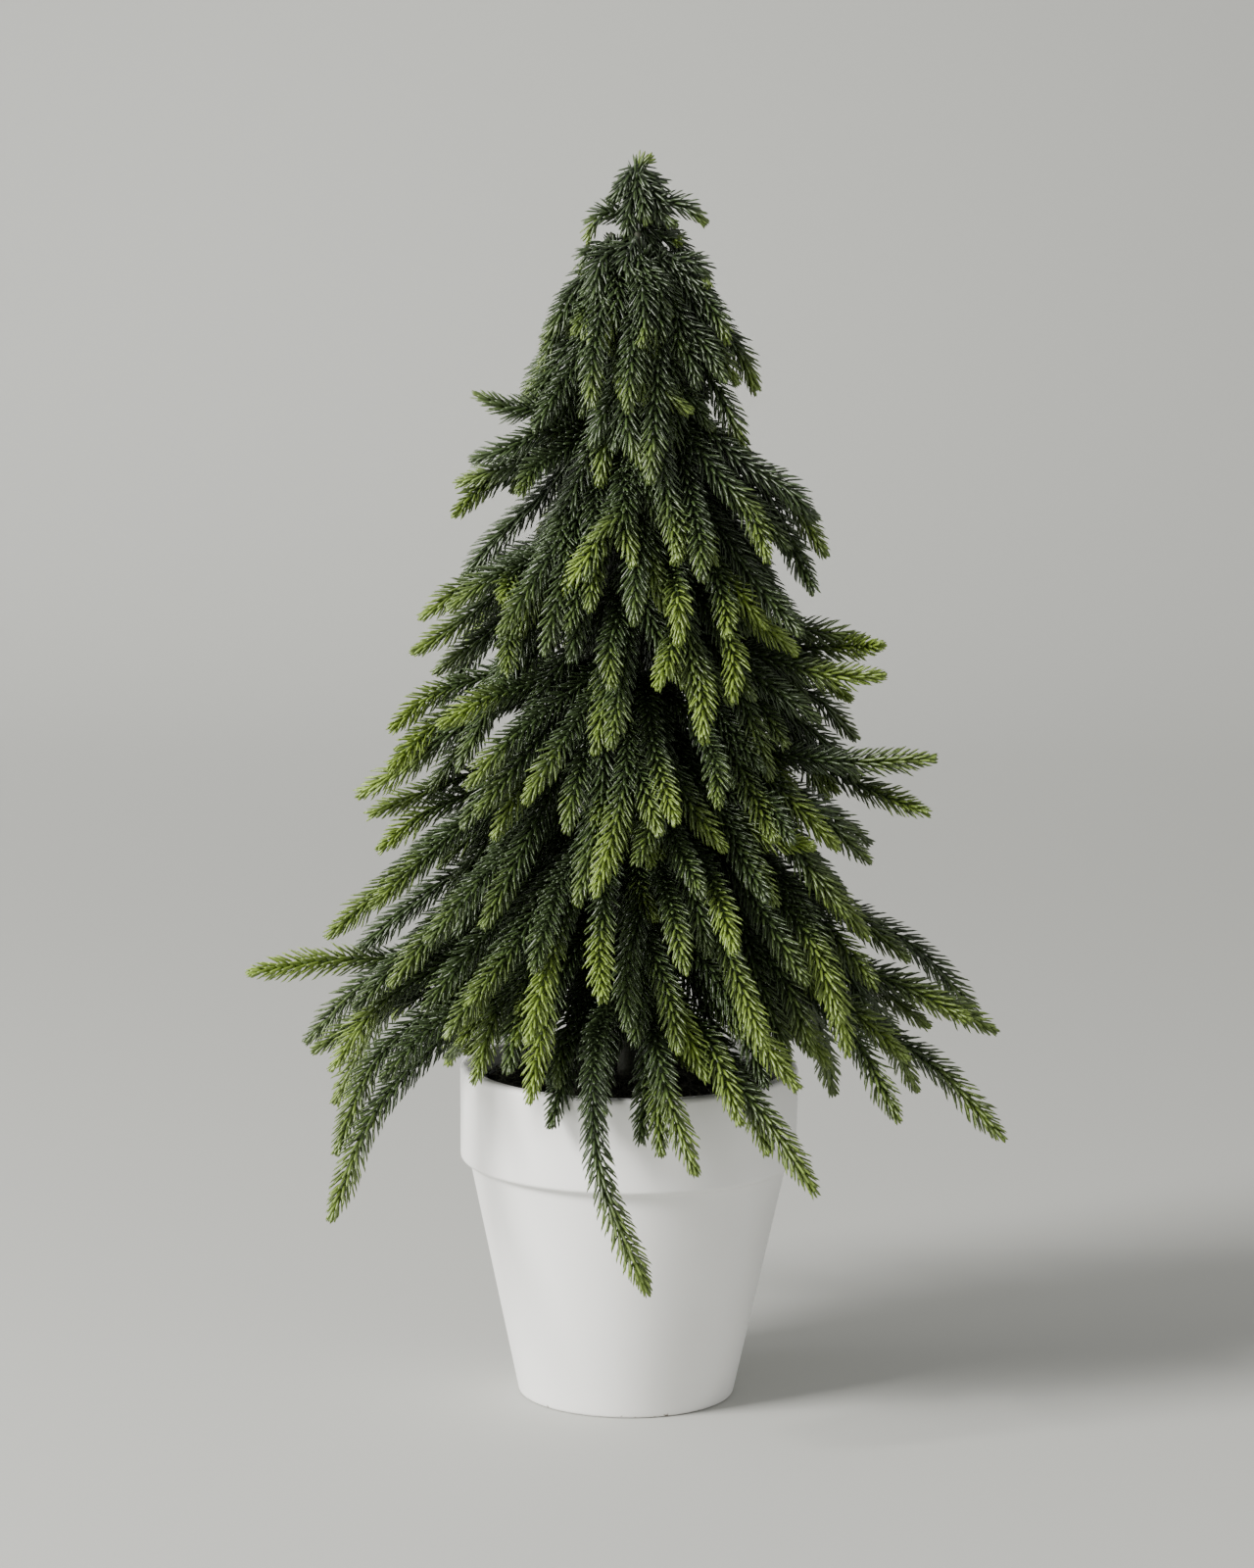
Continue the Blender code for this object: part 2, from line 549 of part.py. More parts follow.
def swing_pushes(lines, views, stiffness):
    """Pushes that keep the low boughs clear of the others and of the pot at each step of their swing."""
    points = lines.points
    push = np.zeros_like(points)
    for number, (rows, pivots, matrices) in enumerate(views):
        swung = np.einsum("nij,nkj->nki", matrices, points[rows] - pivots[:, None]) + pivots[:, None]
        pairs = close_pairs(swung, points, lines.owner[rows], lines.owner, False)
        first, second = pushes_between(swung, points, pairs, lines.radii[rows], lines.radii, 0.0, stiffness)
        push[rows] += turned_back(first, matrices)
        push += second
        if number in (0, len(views) - 1):
            pairs = close_pairs(swung, swung, lines.owner[rows], lines.owner[rows], True)
            first, second = pushes_between(
                swung, swung, pairs, lines.radii[rows], lines.radii[rows], 0.0, stiffness
            )
            push[rows] += turned_back(first + second, matrices)
            push[rows] += turned_back(pot_push(swung, lines.radii[rows]), matrices)
    return push


def spread(lines):
    """Parts the sprigs of neighbouring boughs until their cores clear one another, at rest and as the low ones swing."""
    views = swing_views(lines)
    for step in range(SPREADING_ROUNDS):
        easy = step < 0.4 * SPREADING_ROUNDS
        spacing = EASY_SPACING if easy else 0.0
        stiffness = 0.25 if easy else 0.9
        points = lines.points
        pairs = close_pairs(points, points, lines.owner, lines.owner, True)
        first, second = pushes_between(points, points, pairs, lines.radii, lines.radii, spacing, stiffness)
        push = first + second + swing_pushes(lines, views, 0.6 * stiffness)
        if easy:
            push[:, 1:-1] = 0.25 * push[:, :-2] + 0.5 * push[:, 1:-1] + 0.25 * push[:, 2:]
        push += pot_push(points, lines.radii) + trunk_push(points, lines.radii)
        lines.points = points + push * lines.free[:, :, None]


def tube_mesh(name, line, radii):
    """A closed tube of a few sides round a centre line, pointed at its far end and blunt at its root."""
    tangents = np.gradient(line, axis=0)
    tangents /= np.linalg.norm(tangents, axis=1)[:, None]
    side = np.cross(tangents[0], [0.0, 0.0, 1.0])
    if np.linalg.norm(side) < 0.1:
        side = np.array([1.0, 0.0, 0.0])
    root = line[0] - tangents[0] * radii[0]
    tip = line[-1] + tangents[-1] * radii[-1]
    angles = 2 * math.pi * np.arange(TUBE_SIDES) / TUBE_SIDES
    shape = bmesh.new()
    rings = []
    for point, tangent, radius in zip(line, tangents, radii):
        side = side - tangent * (side @ tangent)
        side = side / np.linalg.norm(side)
        other = np.cross(tangent, side)
        ring = [point + radius * (math.cos(a) * side + math.sin(a) * other) for a in angles]
        rings.append([shape.verts.new(Vector(corner)) for corner in ring])
    for low, high in zip(rings, rings[1:]):
        for k in range(TUBE_SIDES):
            after = (k + 1) % TUBE_SIDES
            shape.faces.new((low[k], low[after], high[after], high[k]))
    root_point = shape.verts.new(Vector(root))
    tip_point = shape.verts.new(Vector(tip))
    for k in range(TUBE_SIDES):
        after = (k + 1) % TUBE_SIDES
        shape.faces.new((rings[0][after], rings[0][k], root_point))
        shape.faces.new((rings[-1][k], rings[-1][after], tip_point))
    mesh = bpy.data.meshes.new(name)
    shape.to_mesh(mesh)
    shape.free()
    return mesh


def make_boughs(collection, helpers, lines):
    """Each bough is its stem with its sprigs joined on, as one solid."""
    joined = []
    for index, name in enumerate(lines.names):
        rows = np.nonzero(lines.owner == index)[0]
        stem = add_object(name, tube_mesh(name, lines.points[rows[0]], lines.radii[rows[0]]), collection, FOLIAGE)
        for number, row in enumerate(rows[1:]):
            part_name = f"{name}_sprig_{number}"
            sprig = add_object(part_name, tube_mesh(part_name, lines.points[row], lines.radii[row]), helpers, FOLIAGE)
            sprig.hide_render = True
            sprig.display_type = "WIRE"
            union = stem.modifiers.new(f"join_{number}", "BOOLEAN")
            union.operation = "UNION"
            union.solver = "EXACT"
            union.object = sprig
        joined.append(stem)
    return joined


def fix_shapes(joined, helpers):
    """Keeps each joined bough as a plain mesh, and removes the sprigs that it was joined from."""
    graph = bpy.context.evaluated_depsgraph_get()
    meshes = [bpy.data.meshes.new_from_object(obj.evaluated_get(graph)) for obj in joined]
    for obj, mesh in zip(joined, meshes):
        obj.modifiers.clear()
        mesh.name = obj.name
        obj.data = mesh
        shade_smooth(mesh)
    for obj in list(helpers.objects):
        bpy.data.objects.remove(obj, do_unlink=True)


def put_origins_on_roots(joined, lines):
    """A bough's origin is its root, where its wire bends."""
    for index, obj in enumerate(joined):
        pivot, _ = lines.hinge(index) if obj.name != "leader" else (leader_stem()[0], None)
        count = len(obj.data.vertices)
        flat = np.empty(count * 3, np.float32)
        obj.data.vertices.foreach_get("co", flat)
        obj.data.vertices.foreach_set("co", (flat.reshape(-1, 3) - pivot).astype(np.float32).ravel())
        obj.data.update()
        obj.location = Vector(pivot)


def main():
    clear_scene()
    tree = make_collection("artificial_tabletop_tree")
    helpers = make_collection("sprig_helpers")
    make_pot(tree)
    make_filling(tree)
    make_trunk(tree)
    rng = np.random.default_rng(SEED)
    lines = Lines({**FRONT_BOUGHS, **back_boughs(rng)}, rng)
    spread(lines)
    joined = make_boughs(tree, helpers, lines)
    fix_shapes(joined, helpers)
    put_origins_on_roots(joined, lines)
    bpy.data.collections.remove(helpers)


main()
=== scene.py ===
import json
import math

import bpy
import numpy as np
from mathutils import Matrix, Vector

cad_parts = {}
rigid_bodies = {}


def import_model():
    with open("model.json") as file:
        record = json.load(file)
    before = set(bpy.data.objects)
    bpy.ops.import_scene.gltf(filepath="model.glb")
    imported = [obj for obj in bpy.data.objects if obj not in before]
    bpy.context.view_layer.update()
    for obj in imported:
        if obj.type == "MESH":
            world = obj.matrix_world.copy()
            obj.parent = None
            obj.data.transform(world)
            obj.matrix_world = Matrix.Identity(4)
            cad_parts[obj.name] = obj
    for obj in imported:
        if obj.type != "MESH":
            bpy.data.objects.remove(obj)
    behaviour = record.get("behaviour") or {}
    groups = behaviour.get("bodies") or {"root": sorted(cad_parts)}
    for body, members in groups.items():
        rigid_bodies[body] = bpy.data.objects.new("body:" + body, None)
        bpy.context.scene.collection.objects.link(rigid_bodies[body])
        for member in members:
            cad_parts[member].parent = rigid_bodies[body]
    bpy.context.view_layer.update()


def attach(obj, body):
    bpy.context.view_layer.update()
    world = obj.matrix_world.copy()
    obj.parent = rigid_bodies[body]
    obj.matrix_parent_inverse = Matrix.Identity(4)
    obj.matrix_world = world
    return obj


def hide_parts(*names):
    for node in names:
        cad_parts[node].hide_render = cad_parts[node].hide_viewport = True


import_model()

# Sizes shared by all the pieces, in metres
treeHeight = 0.500
foliageReach = 0.150
potHeight = 0.1355
potRimRadius = 0.0683
potBaseRadius = 0.0438
potWall = 0.0060
rimBandHeight = 0.285 * potHeight
potNeckRadius = potRimRadius - 0.0043
potFloor = 0.0080
coverEdge = 0.93 * potHeight
coverMiddle = 0.965 * potHeight
coverFoot = 0.87 * potHeight + 0.0003
trunkRodRadius = 0.0015
trunkTop = 0.928 * treeHeight
wrapFoot = coverMiddle + 0.0006
wrapTop = trunkTop - 0.0030
wrapFootRadius = 0.0050
wrapTopRadius = 0.0026
stemRadius = 0.0019
sprigRadius = 0.0024
clearance = 0.0003


# ---- where every sprig runs: the same layout as the CAD's boughs

linePoints = 5
layout = {
    "sprigsPerBough": 6,
    "firstFork": 0.97,  # the first sprig's place on its stem, and the step down to each next one
    "forkStep": 0.15,
    "forkReach": 0.20,
    "stemRise": 0.10,
    "bowEase": 0.45,
    "lowArchHeight": 6.5,
    "sideBow": 16.0,
    "fillHeight": 8,
    "fillTurn": (12, 34),
    "fillSink": (-6, 0),
    "lowFillTurn": (3, 15),
    "lowFillSink": (2, 6),
    "gap": 0.0009,
    "easySpacing": 0.0075,
    "rootSpacing": 0.0055,
    "rounds": 100,
    "backBoughs": 11,
    "firstBack": 23,
    "seed": 7,
    "bow": (0.08, 0.16),
    "swing": (-12.0, 12.0),
    "swingStep": 3.0,
}
hinged = tuple(f"low_bough_{side}" for side in ("left", "right", "front", "back_left", "back_right"))

# drop of the hand, then each tip: azimuth in degrees, reach and height in percent, bow in percent,
# and sometimes a bow sideways
frontBoughs = {
    "leader": (1.0, [(-66, 2, 100, 0), (-14, 18, 93.5, 22), (-168, 15, 91.5, 22), (80, 14, 92, 22)]),
    "bough_00_front": (1.0, [(-95, 13, 86, 12), (-130, 17, 84, 12), (-58, 15, 83, 12), (-80, 19, 79, 12)]),
    "bough_01_right": (1.0, [
        (-12, 20, 86.5, 14), (-22, 26, 80.5, 12), (-6, 32, 75, 12), (-50, 19, 78, 12),
    ]),
    "bough_02_left": (1.0, [
        (-168, 16, 87.5, 12), (-172, 24, 80.5, 12), (-118, 17, 80, 12), (175, 25, 77, 10),
    ]),
    "bough_03_front": (1.0, [
        (-85, 27, 67, 14), (-117, 25, 69.5, 14), (-60, 25, 73, 12), (-100, 24, 75, 10),
    ]),
    "bough_04_left": (0.35, [
        (-166, 43, 74, -10), (-160, 45, 67.5, 10), (-172, 47, 64.5, 8), (-168, 49, 61.5, 8),
    ]),
    "bough_05_right": (1.0, [
        (-16, 49, 61.5, 14), (-8, 51, 57.5, 12), (-22, 51, 54, 12), (-36, 40, 62, 12),
    ]),
    "bough_06_front": (1.0, [
        (-92, 36, 57.5, 14), (-72, 38, 58, 14), (-118, 38, 54, 18), (-105, 37, 60, 12),
    ]),
    "bough_07_left": (0.6, [
        (-168, 57, 50.5, 12), (-155, 53, 52, 12), (-140, 46, 53, 12), (-176, 58, 46, 10),
    ]),
    "bough_08_right": (1.0, [
        (-38, 43, 50.5, 10), (-74, 42, 49.5, 10), (-24, 46, 46.5, 8), (-55, 44, 50, 10),
    ]),
    "bough_09_right": (0.3, [
        (-12, 67, 47.5, -14), (-18, 68, 44.5, -8), (-4, 60, 48, 8), (-10, 58, 42, 12),
    ]),
    "bough_10_front": (1.0, [
        (-81, 46, 45, 14), (-55, 47, 43.5, 16), (-68, 50, 39.5, 18), (-98, 46, 45, 12),
    ]),
    "bough_11_left": (0.6, [
        (-166, 66, 38.5, 12), (-160, 68, 34.5, 12), (-172, 73, 30.5, 12), (-146, 60, 40, 10),
    ]),
    "bough_12_front": (1.0, [
        (-119, 56, 33, 14), (-98, 63, 24, 16), (-135, 60, 34, 12), (-108, 55, 30, 10),
    ]),
    "bough_13_front": (1.0, [
        (-80, 57, 31, 14), (-88, 58, 27, 12), (-66, 56, 33, 12), (-73, 60, 23.5, -12),
    ]),
    "bough_14_right": (0.5, [
        (-14, 81, 35.5, -6), (-10, 79, 29.5, 6), (-20, 66, 25, 14), (-30, 62, 27, 24),
    ]),
    "bough_15_left": (0.7, [(-164, 83, 16, 8), (-170, 68, 25, 10), (-156, 74, 20, 8), (-178, 70, 28, 10)]),
    "bough_16_right": (1.0, [(-41, 61, 27, -14), (-33, 67, 20, 14), (-26, 69, 17, 16), (-52, 60, 22, 12)]),
    "bough_17_front": (1.0, [(-67, 68, 18, 6), (-62, 73, 8, 12), (-78, 66, 16, 12), (-50, 70, 14, 12)]),
    "bough_18_front": (1.0, [
        (-111, 70, 16, 12), (-130, 73, 8, 14), (-96, 72, 13.5, 12), (-110, 76, 9, 16),
    ]),
    "bough_19_right": (1.0, [(-44, 76, 10, 18), (-40, 75, 6, 16), (-28, 74, 12, 14), (-15, 76, 14, 10)]),
    "bough_20_left": (1.0, [(-150, 72, 12, 12), (-162, 76, 8, 12), (178, 74, 12, 12), (-140, 70, 10, 10)]),
    "bough_21_front": (0.7, [(-114, 64, 1.5, 14), (-128, 66, 3, 14), (-120, 60, 7, 12), (-138, 60, 6, 12)]),
    "bough_22_front": (0.7, [
        (-54, 72, 3, 14, -10), (-72, 62, 4, 16, -14), (-38, 66, 4, 12, -6), (-62, 58, 7, 12),
    ]),
    "low_bough_left": (0.6, [
        (-166, 103, 12, 4), (-162, 83, 2, 16), (-150, 89, -5.5, 18), (-146, 94, -12, 16),
    ]),
    "low_bough_right": (0.6, [(-14, 92, 7.5, 6), (-8, 98, 5.5, 6), (-16, 103, -5, 8), (-34, 85, -1, 16)]),
    "low_bough_front": (0.9, [
        (-87, 74, -18, 30, -16), (-77, 73, -5, 22, -8), (-52, 78, -8, 20, -10), (-66, 70, 0, 20, -4),
    ]),
}


# a direction in degrees and shares in percent, as a point in metres
def place(azimuth, reach, height):
    radius = reach / 100 * foliageReach
    angle = math.radians(azimuth)
    z = potHeight + height / 100 * (treeHeight - potHeight)
    return np.array([radius * math.cos(angle), radius * math.sin(angle), z])


# the direction of the tips' summed reaches
def middleAzimuth(tips):
    x = sum(tip[1] * math.cos(math.radians(tip[0])) for tip in tips)
    y = sum(tip[1] * math.sin(math.radians(tip[0])) for tip in tips)
    return math.degrees(math.atan2(y, x))


# the tips' mean reach and mean height, in metres
def handMiddle(tips):
    reach = sum(tip[1] for tip in tips) / len(tips) / 100 * foliageReach
    height = place(0, 0, sum(tip[2] for tip in tips) / len(tips))[2]
    return reach, height


# boughs of the far side, stepped round it by the golden ratio
def backBoughs(rng):
    boughs = {}
    for index in range(layout["backBoughs"]):
        share = (index + 0.5) / layout["backBoughs"]
        height = 86 * (1 - share) ** 1.15 + 2
        azimuth = 90 + 78 * (2 * ((index * 0.618 + 0.3) % 1.0) - 1)
        tips = []
        for turn in (-24, -9, 8, 22):
            reach = min(8 + 0.78 * (100 - height), 66.0) * rng.uniform(0.84, 1.02)
            drop = rng.uniform(-5, 5) - 0.05 * abs(turn)
            tips.append((azimuth + turn, reach, height + drop, 100 * rng.uniform(*layout["bow"])))
        boughs[f"bough_{index + layout['firstBack']}_back"] = (1.0, tips)
    for name, azimuth in (("low_bough_back_left", 138), ("low_bough_back_right", 40)):
        tips = []
        for turn, height in ((-30, 4), (-12, -6), (10, -9), (30, 1)):
            tips.append((azimuth + turn, rng.uniform(84, 98), height, 14))
        boughs[name] = (0.9, tips)
    return boughs


# under-sprigs between and below the listed tips, and a sideways bow for every tip without one
def filledOut(tips, rng):
    azimuth = middleAzimuth(tips)
    reach = sum(tip[1] for tip in tips) / len(tips)
    height = sum(tip[2] for tip in tips) / len(tips)
    whole = list(tips)
    side = 1
    while len(whole) < layout["sprigsPerBough"]:
        low = height <= layout["fillHeight"]
        turn = side * rng.uniform(*layout["lowFillTurn" if low else "fillTurn"])
        sink = rng.uniform(*layout["lowFillSink" if low else "fillSink"])
        whole.append((azimuth + turn, reach * rng.uniform(0.84, 0.96), height + sink, 11))
        side = -side
    wander = layout["sideBow"] * min(max((height - layout["lowArchHeight"]) / 30, 0.0), 1.0)
    return [tip if len(tip) == 5 else (*tip, rng.uniform(-wander, wander)) for tip in whole]


# (1-t)^2 start + 2t(1-t) control + t^2 end
def curvePoints(start, control, end, count):
    t = np.linspace(0, 1, count)[:, None]
    return (1 - t) ** 2 * start + 2 * t * (1 - t) * control + t**2 * end


# straight taper from foot to top
def wrapRadius(z):
    share = (z - wrapFoot) / (wrapTop - wrapFoot)
    return wrapFootRadius + (wrapTopRadius - wrapFootRadius) * np.clip(share, 0.0, 1.0)


# the tips' mean height plus a fall that grows with reach, kept on the trunk
def forkHeight(drop, tips):
    reach, height = handMiddle(tips)
    fall = drop * (0.07 * (treeHeight - potHeight) + 0.40 * reach)
    return min(max(height + fall, potHeight + 0.020), treeHeight - 0.015)


# from the wrap out to the fork, arched a little
def stemLine(drop, tips, rootHeight):
    azimuth = middleAzimuth(tips)
    outward = np.array([math.cos(math.radians(azimuth)), math.sin(math.radians(azimuth)), 0.0])
    reach, _ = handMiddle(tips)
    rootRadius = wrapRadius(rootHeight) + clearance + stemRadius
    root = outward * rootRadius + np.array([0, 0, rootHeight])
    forkReach = max(layout["forkReach"] * reach, rootRadius + 0.006)
    fork = outward * forkReach + np.array([0, 0, forkHeight(drop, tips)])
    lifted = 0.5 * (root + fork) + np.array([0, 0, 0.03 * reach])
    return curvePoints(root, lifted, fork, linePoints)


# straight up from the rod's top
def leaderStem():
    low = trunkTop + clearance + stemRadius
    high = low + 0.045 * (treeHeight - potHeight)
    return np.linspace([0, 0, low], [0, 0, high], linePoints)


# from its place on the stem to its tip, bowed up across the chord and sideways
def sprigLine(stem, share, tip):
    azimuth, reach, height, bow, side = tip
    index = share * (linePoints - 1)
    low = min(int(index), linePoints - 2)
    start = stem[low] + (index - low) * (stem[low + 1] - stem[low])
    end = place(azimuth, reach, height)
    chord = end - start
    length = np.linalg.norm(chord)
    outward = np.array([math.cos(math.radians(azimuth)), math.sin(math.radians(azimuth)), 0.0])
    lift = np.array([0, 0, 1.0]) + 0.6 * outward
    lift = lift - chord * (lift @ chord) / length**2
    lift = lift / max(np.linalg.norm(lift), 0.2)
    arch = bow if height < layout["lowArchHeight"] else layout["bowEase"] * bow
    across = np.array([-outward[1], outward[0], 0.0])
    control = 0.5 * (start + end) + 2 * length / 100 * (arch * lift + side * across)
    return curvePoints(start, control, end, linePoints)


# each root a little under its fork, from the top down, at least one spacing apart
def rootHeights(boughs):
    wanted = {}
    for name, (drop, tips) in boughs.items():
        reach, _ = handMiddle(tips)
        wanted[name] = min(forkHeight(drop, tips) - layout["stemRise"] * reach, wrapTop - 0.003)
    order = sorted(wanted, key=lambda name: -wanted[name])
    heights = {}
    above = wrapTop + layout["rootSpacing"]
    for index, name in enumerate(order):
        lowest = wrapFoot + 0.006 + layout["rootSpacing"] * (len(order) - 1 - index)
        above = max(min(wanted[name], above - layout["rootSpacing"]), lowest)
        heights[name] = above
    return heights


# every bough's stem and sprigs as rows of points, with their radii and how freely each point moves
class Lines:
    def __init__(self, boughs, rng):
        self.names = list(boughs)
        heights = rootHeights(boughs)
        rows = []
        for index, name in enumerate(self.names):
            drop, listed = boughs[name]
            tips = filledOut(listed, rng)
            stem = leaderStem() if name == "leader" else stemLine(drop, tips, heights[name])
            rows.append((stem, index, True))
            for spot, tip in enumerate(tips):
                fork = layout["firstFork"] - layout["forkStep"] * spot
                rows.append((sprigLine(stem, fork, tip), index, False))
        self.points, self.owner, self.isStem = (np.array(part) for part in zip(*rows))
        taper = sprigRadius * np.array([0.45, 0.75, 1.0, 0.95, 0.50])
        self.radii = np.where(self.isStem[:, None], stemRadius, taper[None, :])
        free = np.array([0.0, 0.4, 0.9, 1.0, 1.0])
        self.free = np.where(self.isStem[:, None], 0.0, free[None, :])

    # the pivot and the level axis of a bough's root
    def hinge(self, index):
        stem = self.points[(self.owner == index) & self.isStem][0]
        outward = stem[-1] - stem[0]
        outward = np.array([outward[0], outward[1], 0.0]) / np.hypot(outward[0], outward[1])
        return stem[0], np.array([outward[1], -outward[0], 0.0])


# identity + sin * cross + (1 - cos) * cross squared
def turnMatrix(axis, degrees):
    angle = math.radians(degrees)
    x, y, z = axis
    cross = np.array([[0, -z, y], [z, 0, -x], [-y, x, 0]])
    return np.eye(3) + math.sin(angle) * cross + (1 - math.cos(angle)) * cross @ cross


# shares along two segments where they come nearest
def nearestOnPairs(p, u, q, v):
    w = p - q
    a = np.einsum("ij,ij->i", u, u) + 1e-12
    b = np.einsum("ij,ij->i", u, v)
    c = np.einsum("ij,ij->i", v, v) + 1e-12
    d = np.einsum("ij,ij->i", u, w)
    e = np.einsum("ij,ij->i", v, w)
    denominator = np.maximum(a * c - b * b, 1e-12 * a * c)
    s = np.clip((b * e - c * d) / denominator, 0, 1)
    t = np.clip((b * s + e) / c, 0, 1)
    s = np.clip((b * t - d) / a, 0, 1)
    return s, t


# half of what each pair of segments falls short of its gap, shared between their ends by nearness
def pushesBetween(first, second, pairs, radiiFirst, radiiSecond, spacing, stiffness):
    pushFirst = np.zeros_like(first)
    pushSecond = np.zeros_like(second)
    count = linePoints - 1
    steps = np.arange(count)
    i = np.repeat(pairs[0], count**2)
    j = np.repeat(pairs[1], count**2)
    m = np.tile(np.repeat(steps, count), len(pairs[0]))
    n = np.tile(np.tile(steps, count), len(pairs[0]))
    p, q = first[i, m], second[j, n]
    u, v = first[i, m + 1] - p, second[j, n + 1] - q
    s, t = nearestOnPairs(p, u, q, v)
    apart = (p + s[:, None] * u) - (q + t[:, None] * v)
    distance = np.linalg.norm(apart, axis=1)
    radius = np.maximum(radiiFirst[i, m], radiiFirst[i, m + 1])
    radius = radius + np.maximum(radiiSecond[j, n], radiiSecond[j, n + 1])
    wanted = np.maximum(radius + layout["gap"], spacing)
    short = np.maximum(wanted - distance, 0) * stiffness
    near = short > 0
    away = apart[near] / np.maximum(distance[near], 1e-6)[:, None] * short[near][:, None] * 0.5
    s, t = s[near][:, None], t[near][:, None]
    i, j, m, n = i[near], j[near], m[near], n[near]
    np.add.at(pushFirst, (i, m), away * (1 - s))
    np.add.at(pushFirst, (i, m + 1), away * s)
    np.add.at(pushSecond, (j, n), -away * (1 - t))
    np.add.at(pushSecond, (j, n + 1), -away * t)
    return pushFirst, pushSecond


# lines of different boughs whose spheres come within touching distance
def closePairs(first, second, ownerFirst, ownerSecond, sameSet):
    middleFirst, middleSecond = first.mean(1), second.mean(1)
    sizeFirst = np.linalg.norm(first - middleFirst[:, None], axis=2).max(1)
    sizeSecond = np.linalg.norm(second - middleSecond[:, None], axis=2).max(1)
    distance = np.linalg.norm(middleFirst[:, None] - middleSecond[None], axis=2)
    near = distance < sizeFirst[:, None] + sizeSecond[None] + 2 * sprigRadius + layout["gap"]
    near &= ownerFirst[:, None] != ownerSecond[None]
    if sameSet:
        near = np.triu(near, 1)
    return np.nonzero(near)


# straight taper from floor to mouth
def potInnerRadius(z):
    floorRadius = potBaseRadius + (potNeckRadius - potBaseRadius) * potFloor / potHeight - potWall
    mouthRadius = potRimRadius - potWall
    return floorRadius + (mouthRadius - floorRadius) * (z - potFloor) / (potHeight - potFloor)


# up over the lip or out past the rim, whichever is nearer
def pushOffPot(points, radii):
    room = radii + 0.0012
    radius = np.hypot(points[..., 0], points[..., 1])
    up = potHeight + room - points[..., 2]
    out = potRimRadius + room - radius
    inside = (up > 0) & (out > 0)
    goUp = inside & ((up < out) | (radius < potInnerRadius(potHeight)))
    goOut = inside & ~goUp
    scale = np.where(goOut, out / np.maximum(radius, 1e-6), 0)
    push = points * scale[..., None]
    push[..., 2] = np.where(goUp, up, 0)
    return push


# pushes at the points and at three places between each two, shared by nearness
def potPush(points, radii):
    push = 2 * pushOffPot(points, radii)
    for share in (0.25, 0.5, 0.75):
        between = (1 - share) * points[:, :-1] + share * points[:, 1:]
        thicker = np.maximum(radii[:, :-1], radii[:, 1:])
        part = pushOffPot(between, thicker)
        push[:, :-1] += (1 - share) * part
        push[:, 1:] += share * part
    return 0.5 * push


# level and outwards, to the wrap's radius plus the sprig's own
def trunkPush(points, radii):
    radius = np.hypot(points[..., 0], points[..., 1])
    belowTop = points[..., 2] < trunkTop + 0.002
    out = np.where(belowTop, wrapFootRadius + radii + 0.0008 - radius, 0)
    scale = np.maximum(out, 0) / np.maximum(radius, 1e-6)
    return points * scale[..., None] * np.array([1.0, 1.0, 0.0])


# each step of the low boughs' swing: the rows of their lines, and the pivot and turn of each row
def swingViews(lines):
    low, high = layout["swing"]
    count = round((high - low) / layout["swingStep"])
    views = []
    for degrees in np.linspace(low, high, count + 1):
        rows, pivots, matrices = [], [], []
        for index, name in enumerate(lines.names):
            if name not in hinged:
                continue
            pivot, axis = lines.hinge(index)
            for row in np.nonzero(lines.owner == index)[0]:
                rows.append(row)
                pivots.append(pivot)
                matrices.append(turnMatrix(axis, degrees))
        if rows and abs(degrees) > 0.01:
            views.append((np.array(rows), np.array(pivots), np.array(matrices)))
    return views


# pushes found on swung lines, as they act on the same lines at rest
def turnedBack(push, matrices):
    return np.einsum("nji,nkj->nki", matrices, push)


# pushes the low boughs from the others at each step of their swing, and from one another and from the pot at
# its first and last steps
def swingPushes(lines, views, stiffness):
    points, radii, owner = lines.points, lines.radii, lines.owner
    push = np.zeros_like(points)
    for number, (rows, pivots, matrices) in enumerate(views):
        swung = np.einsum("nij,nkj->nki", matrices, points[rows] - pivots[:, None]) + pivots[:, None]
        pairs = closePairs(swung, points, owner[rows], owner, False)
        first, second = pushesBetween(swung, points, pairs, radii[rows], radii, 0.0, stiffness)
        push[rows] += turnedBack(first, matrices)
        push += second
        if number in (0, len(views) - 1):
            pairs = closePairs(swung, swung, owner[rows], owner[rows], True)
            first, second = pushesBetween(swung, swung, pairs, radii[rows], radii[rows], 0.0, stiffness)
            push[rows] += turnedBack(first + second, matrices)
            push[rows] += turnedBack(potPush(swung, radii[rows]), matrices)
    return push


# parts neighbouring boughs' sprigs for a fixed number of rounds, pushing their cores apart, at rest and as
# the low ones swing
def spread(lines):
    views = swingViews(lines)
    for step in range(layout["rounds"]):
        easy = step < 0.4 * layout["rounds"]
        spacing = layout["easySpacing"] if easy else 0.0
        stiffness = 0.25 if easy else 0.9
        points = lines.points
        pairs = closePairs(points, points, lines.owner, lines.owner, True)
        first, second = pushesBetween(points, points, pairs, lines.radii, lines.radii, spacing, stiffness)
        push = first + second + swingPushes(lines, views, 0.6 * stiffness)
        if easy:
            push[:, 1:-1] = 0.25 * push[:, :-2] + 0.5 * push[:, 1:-1] + 0.25 * push[:, 2:]
        push += potPush(points, lines.radii) + trunkPush(points, lines.radii)
        lines.points = points + push * lines.free[:, :, None]


# ---- shader maths: a wrapped socket takes + - * with numbers or other wrapped sockets


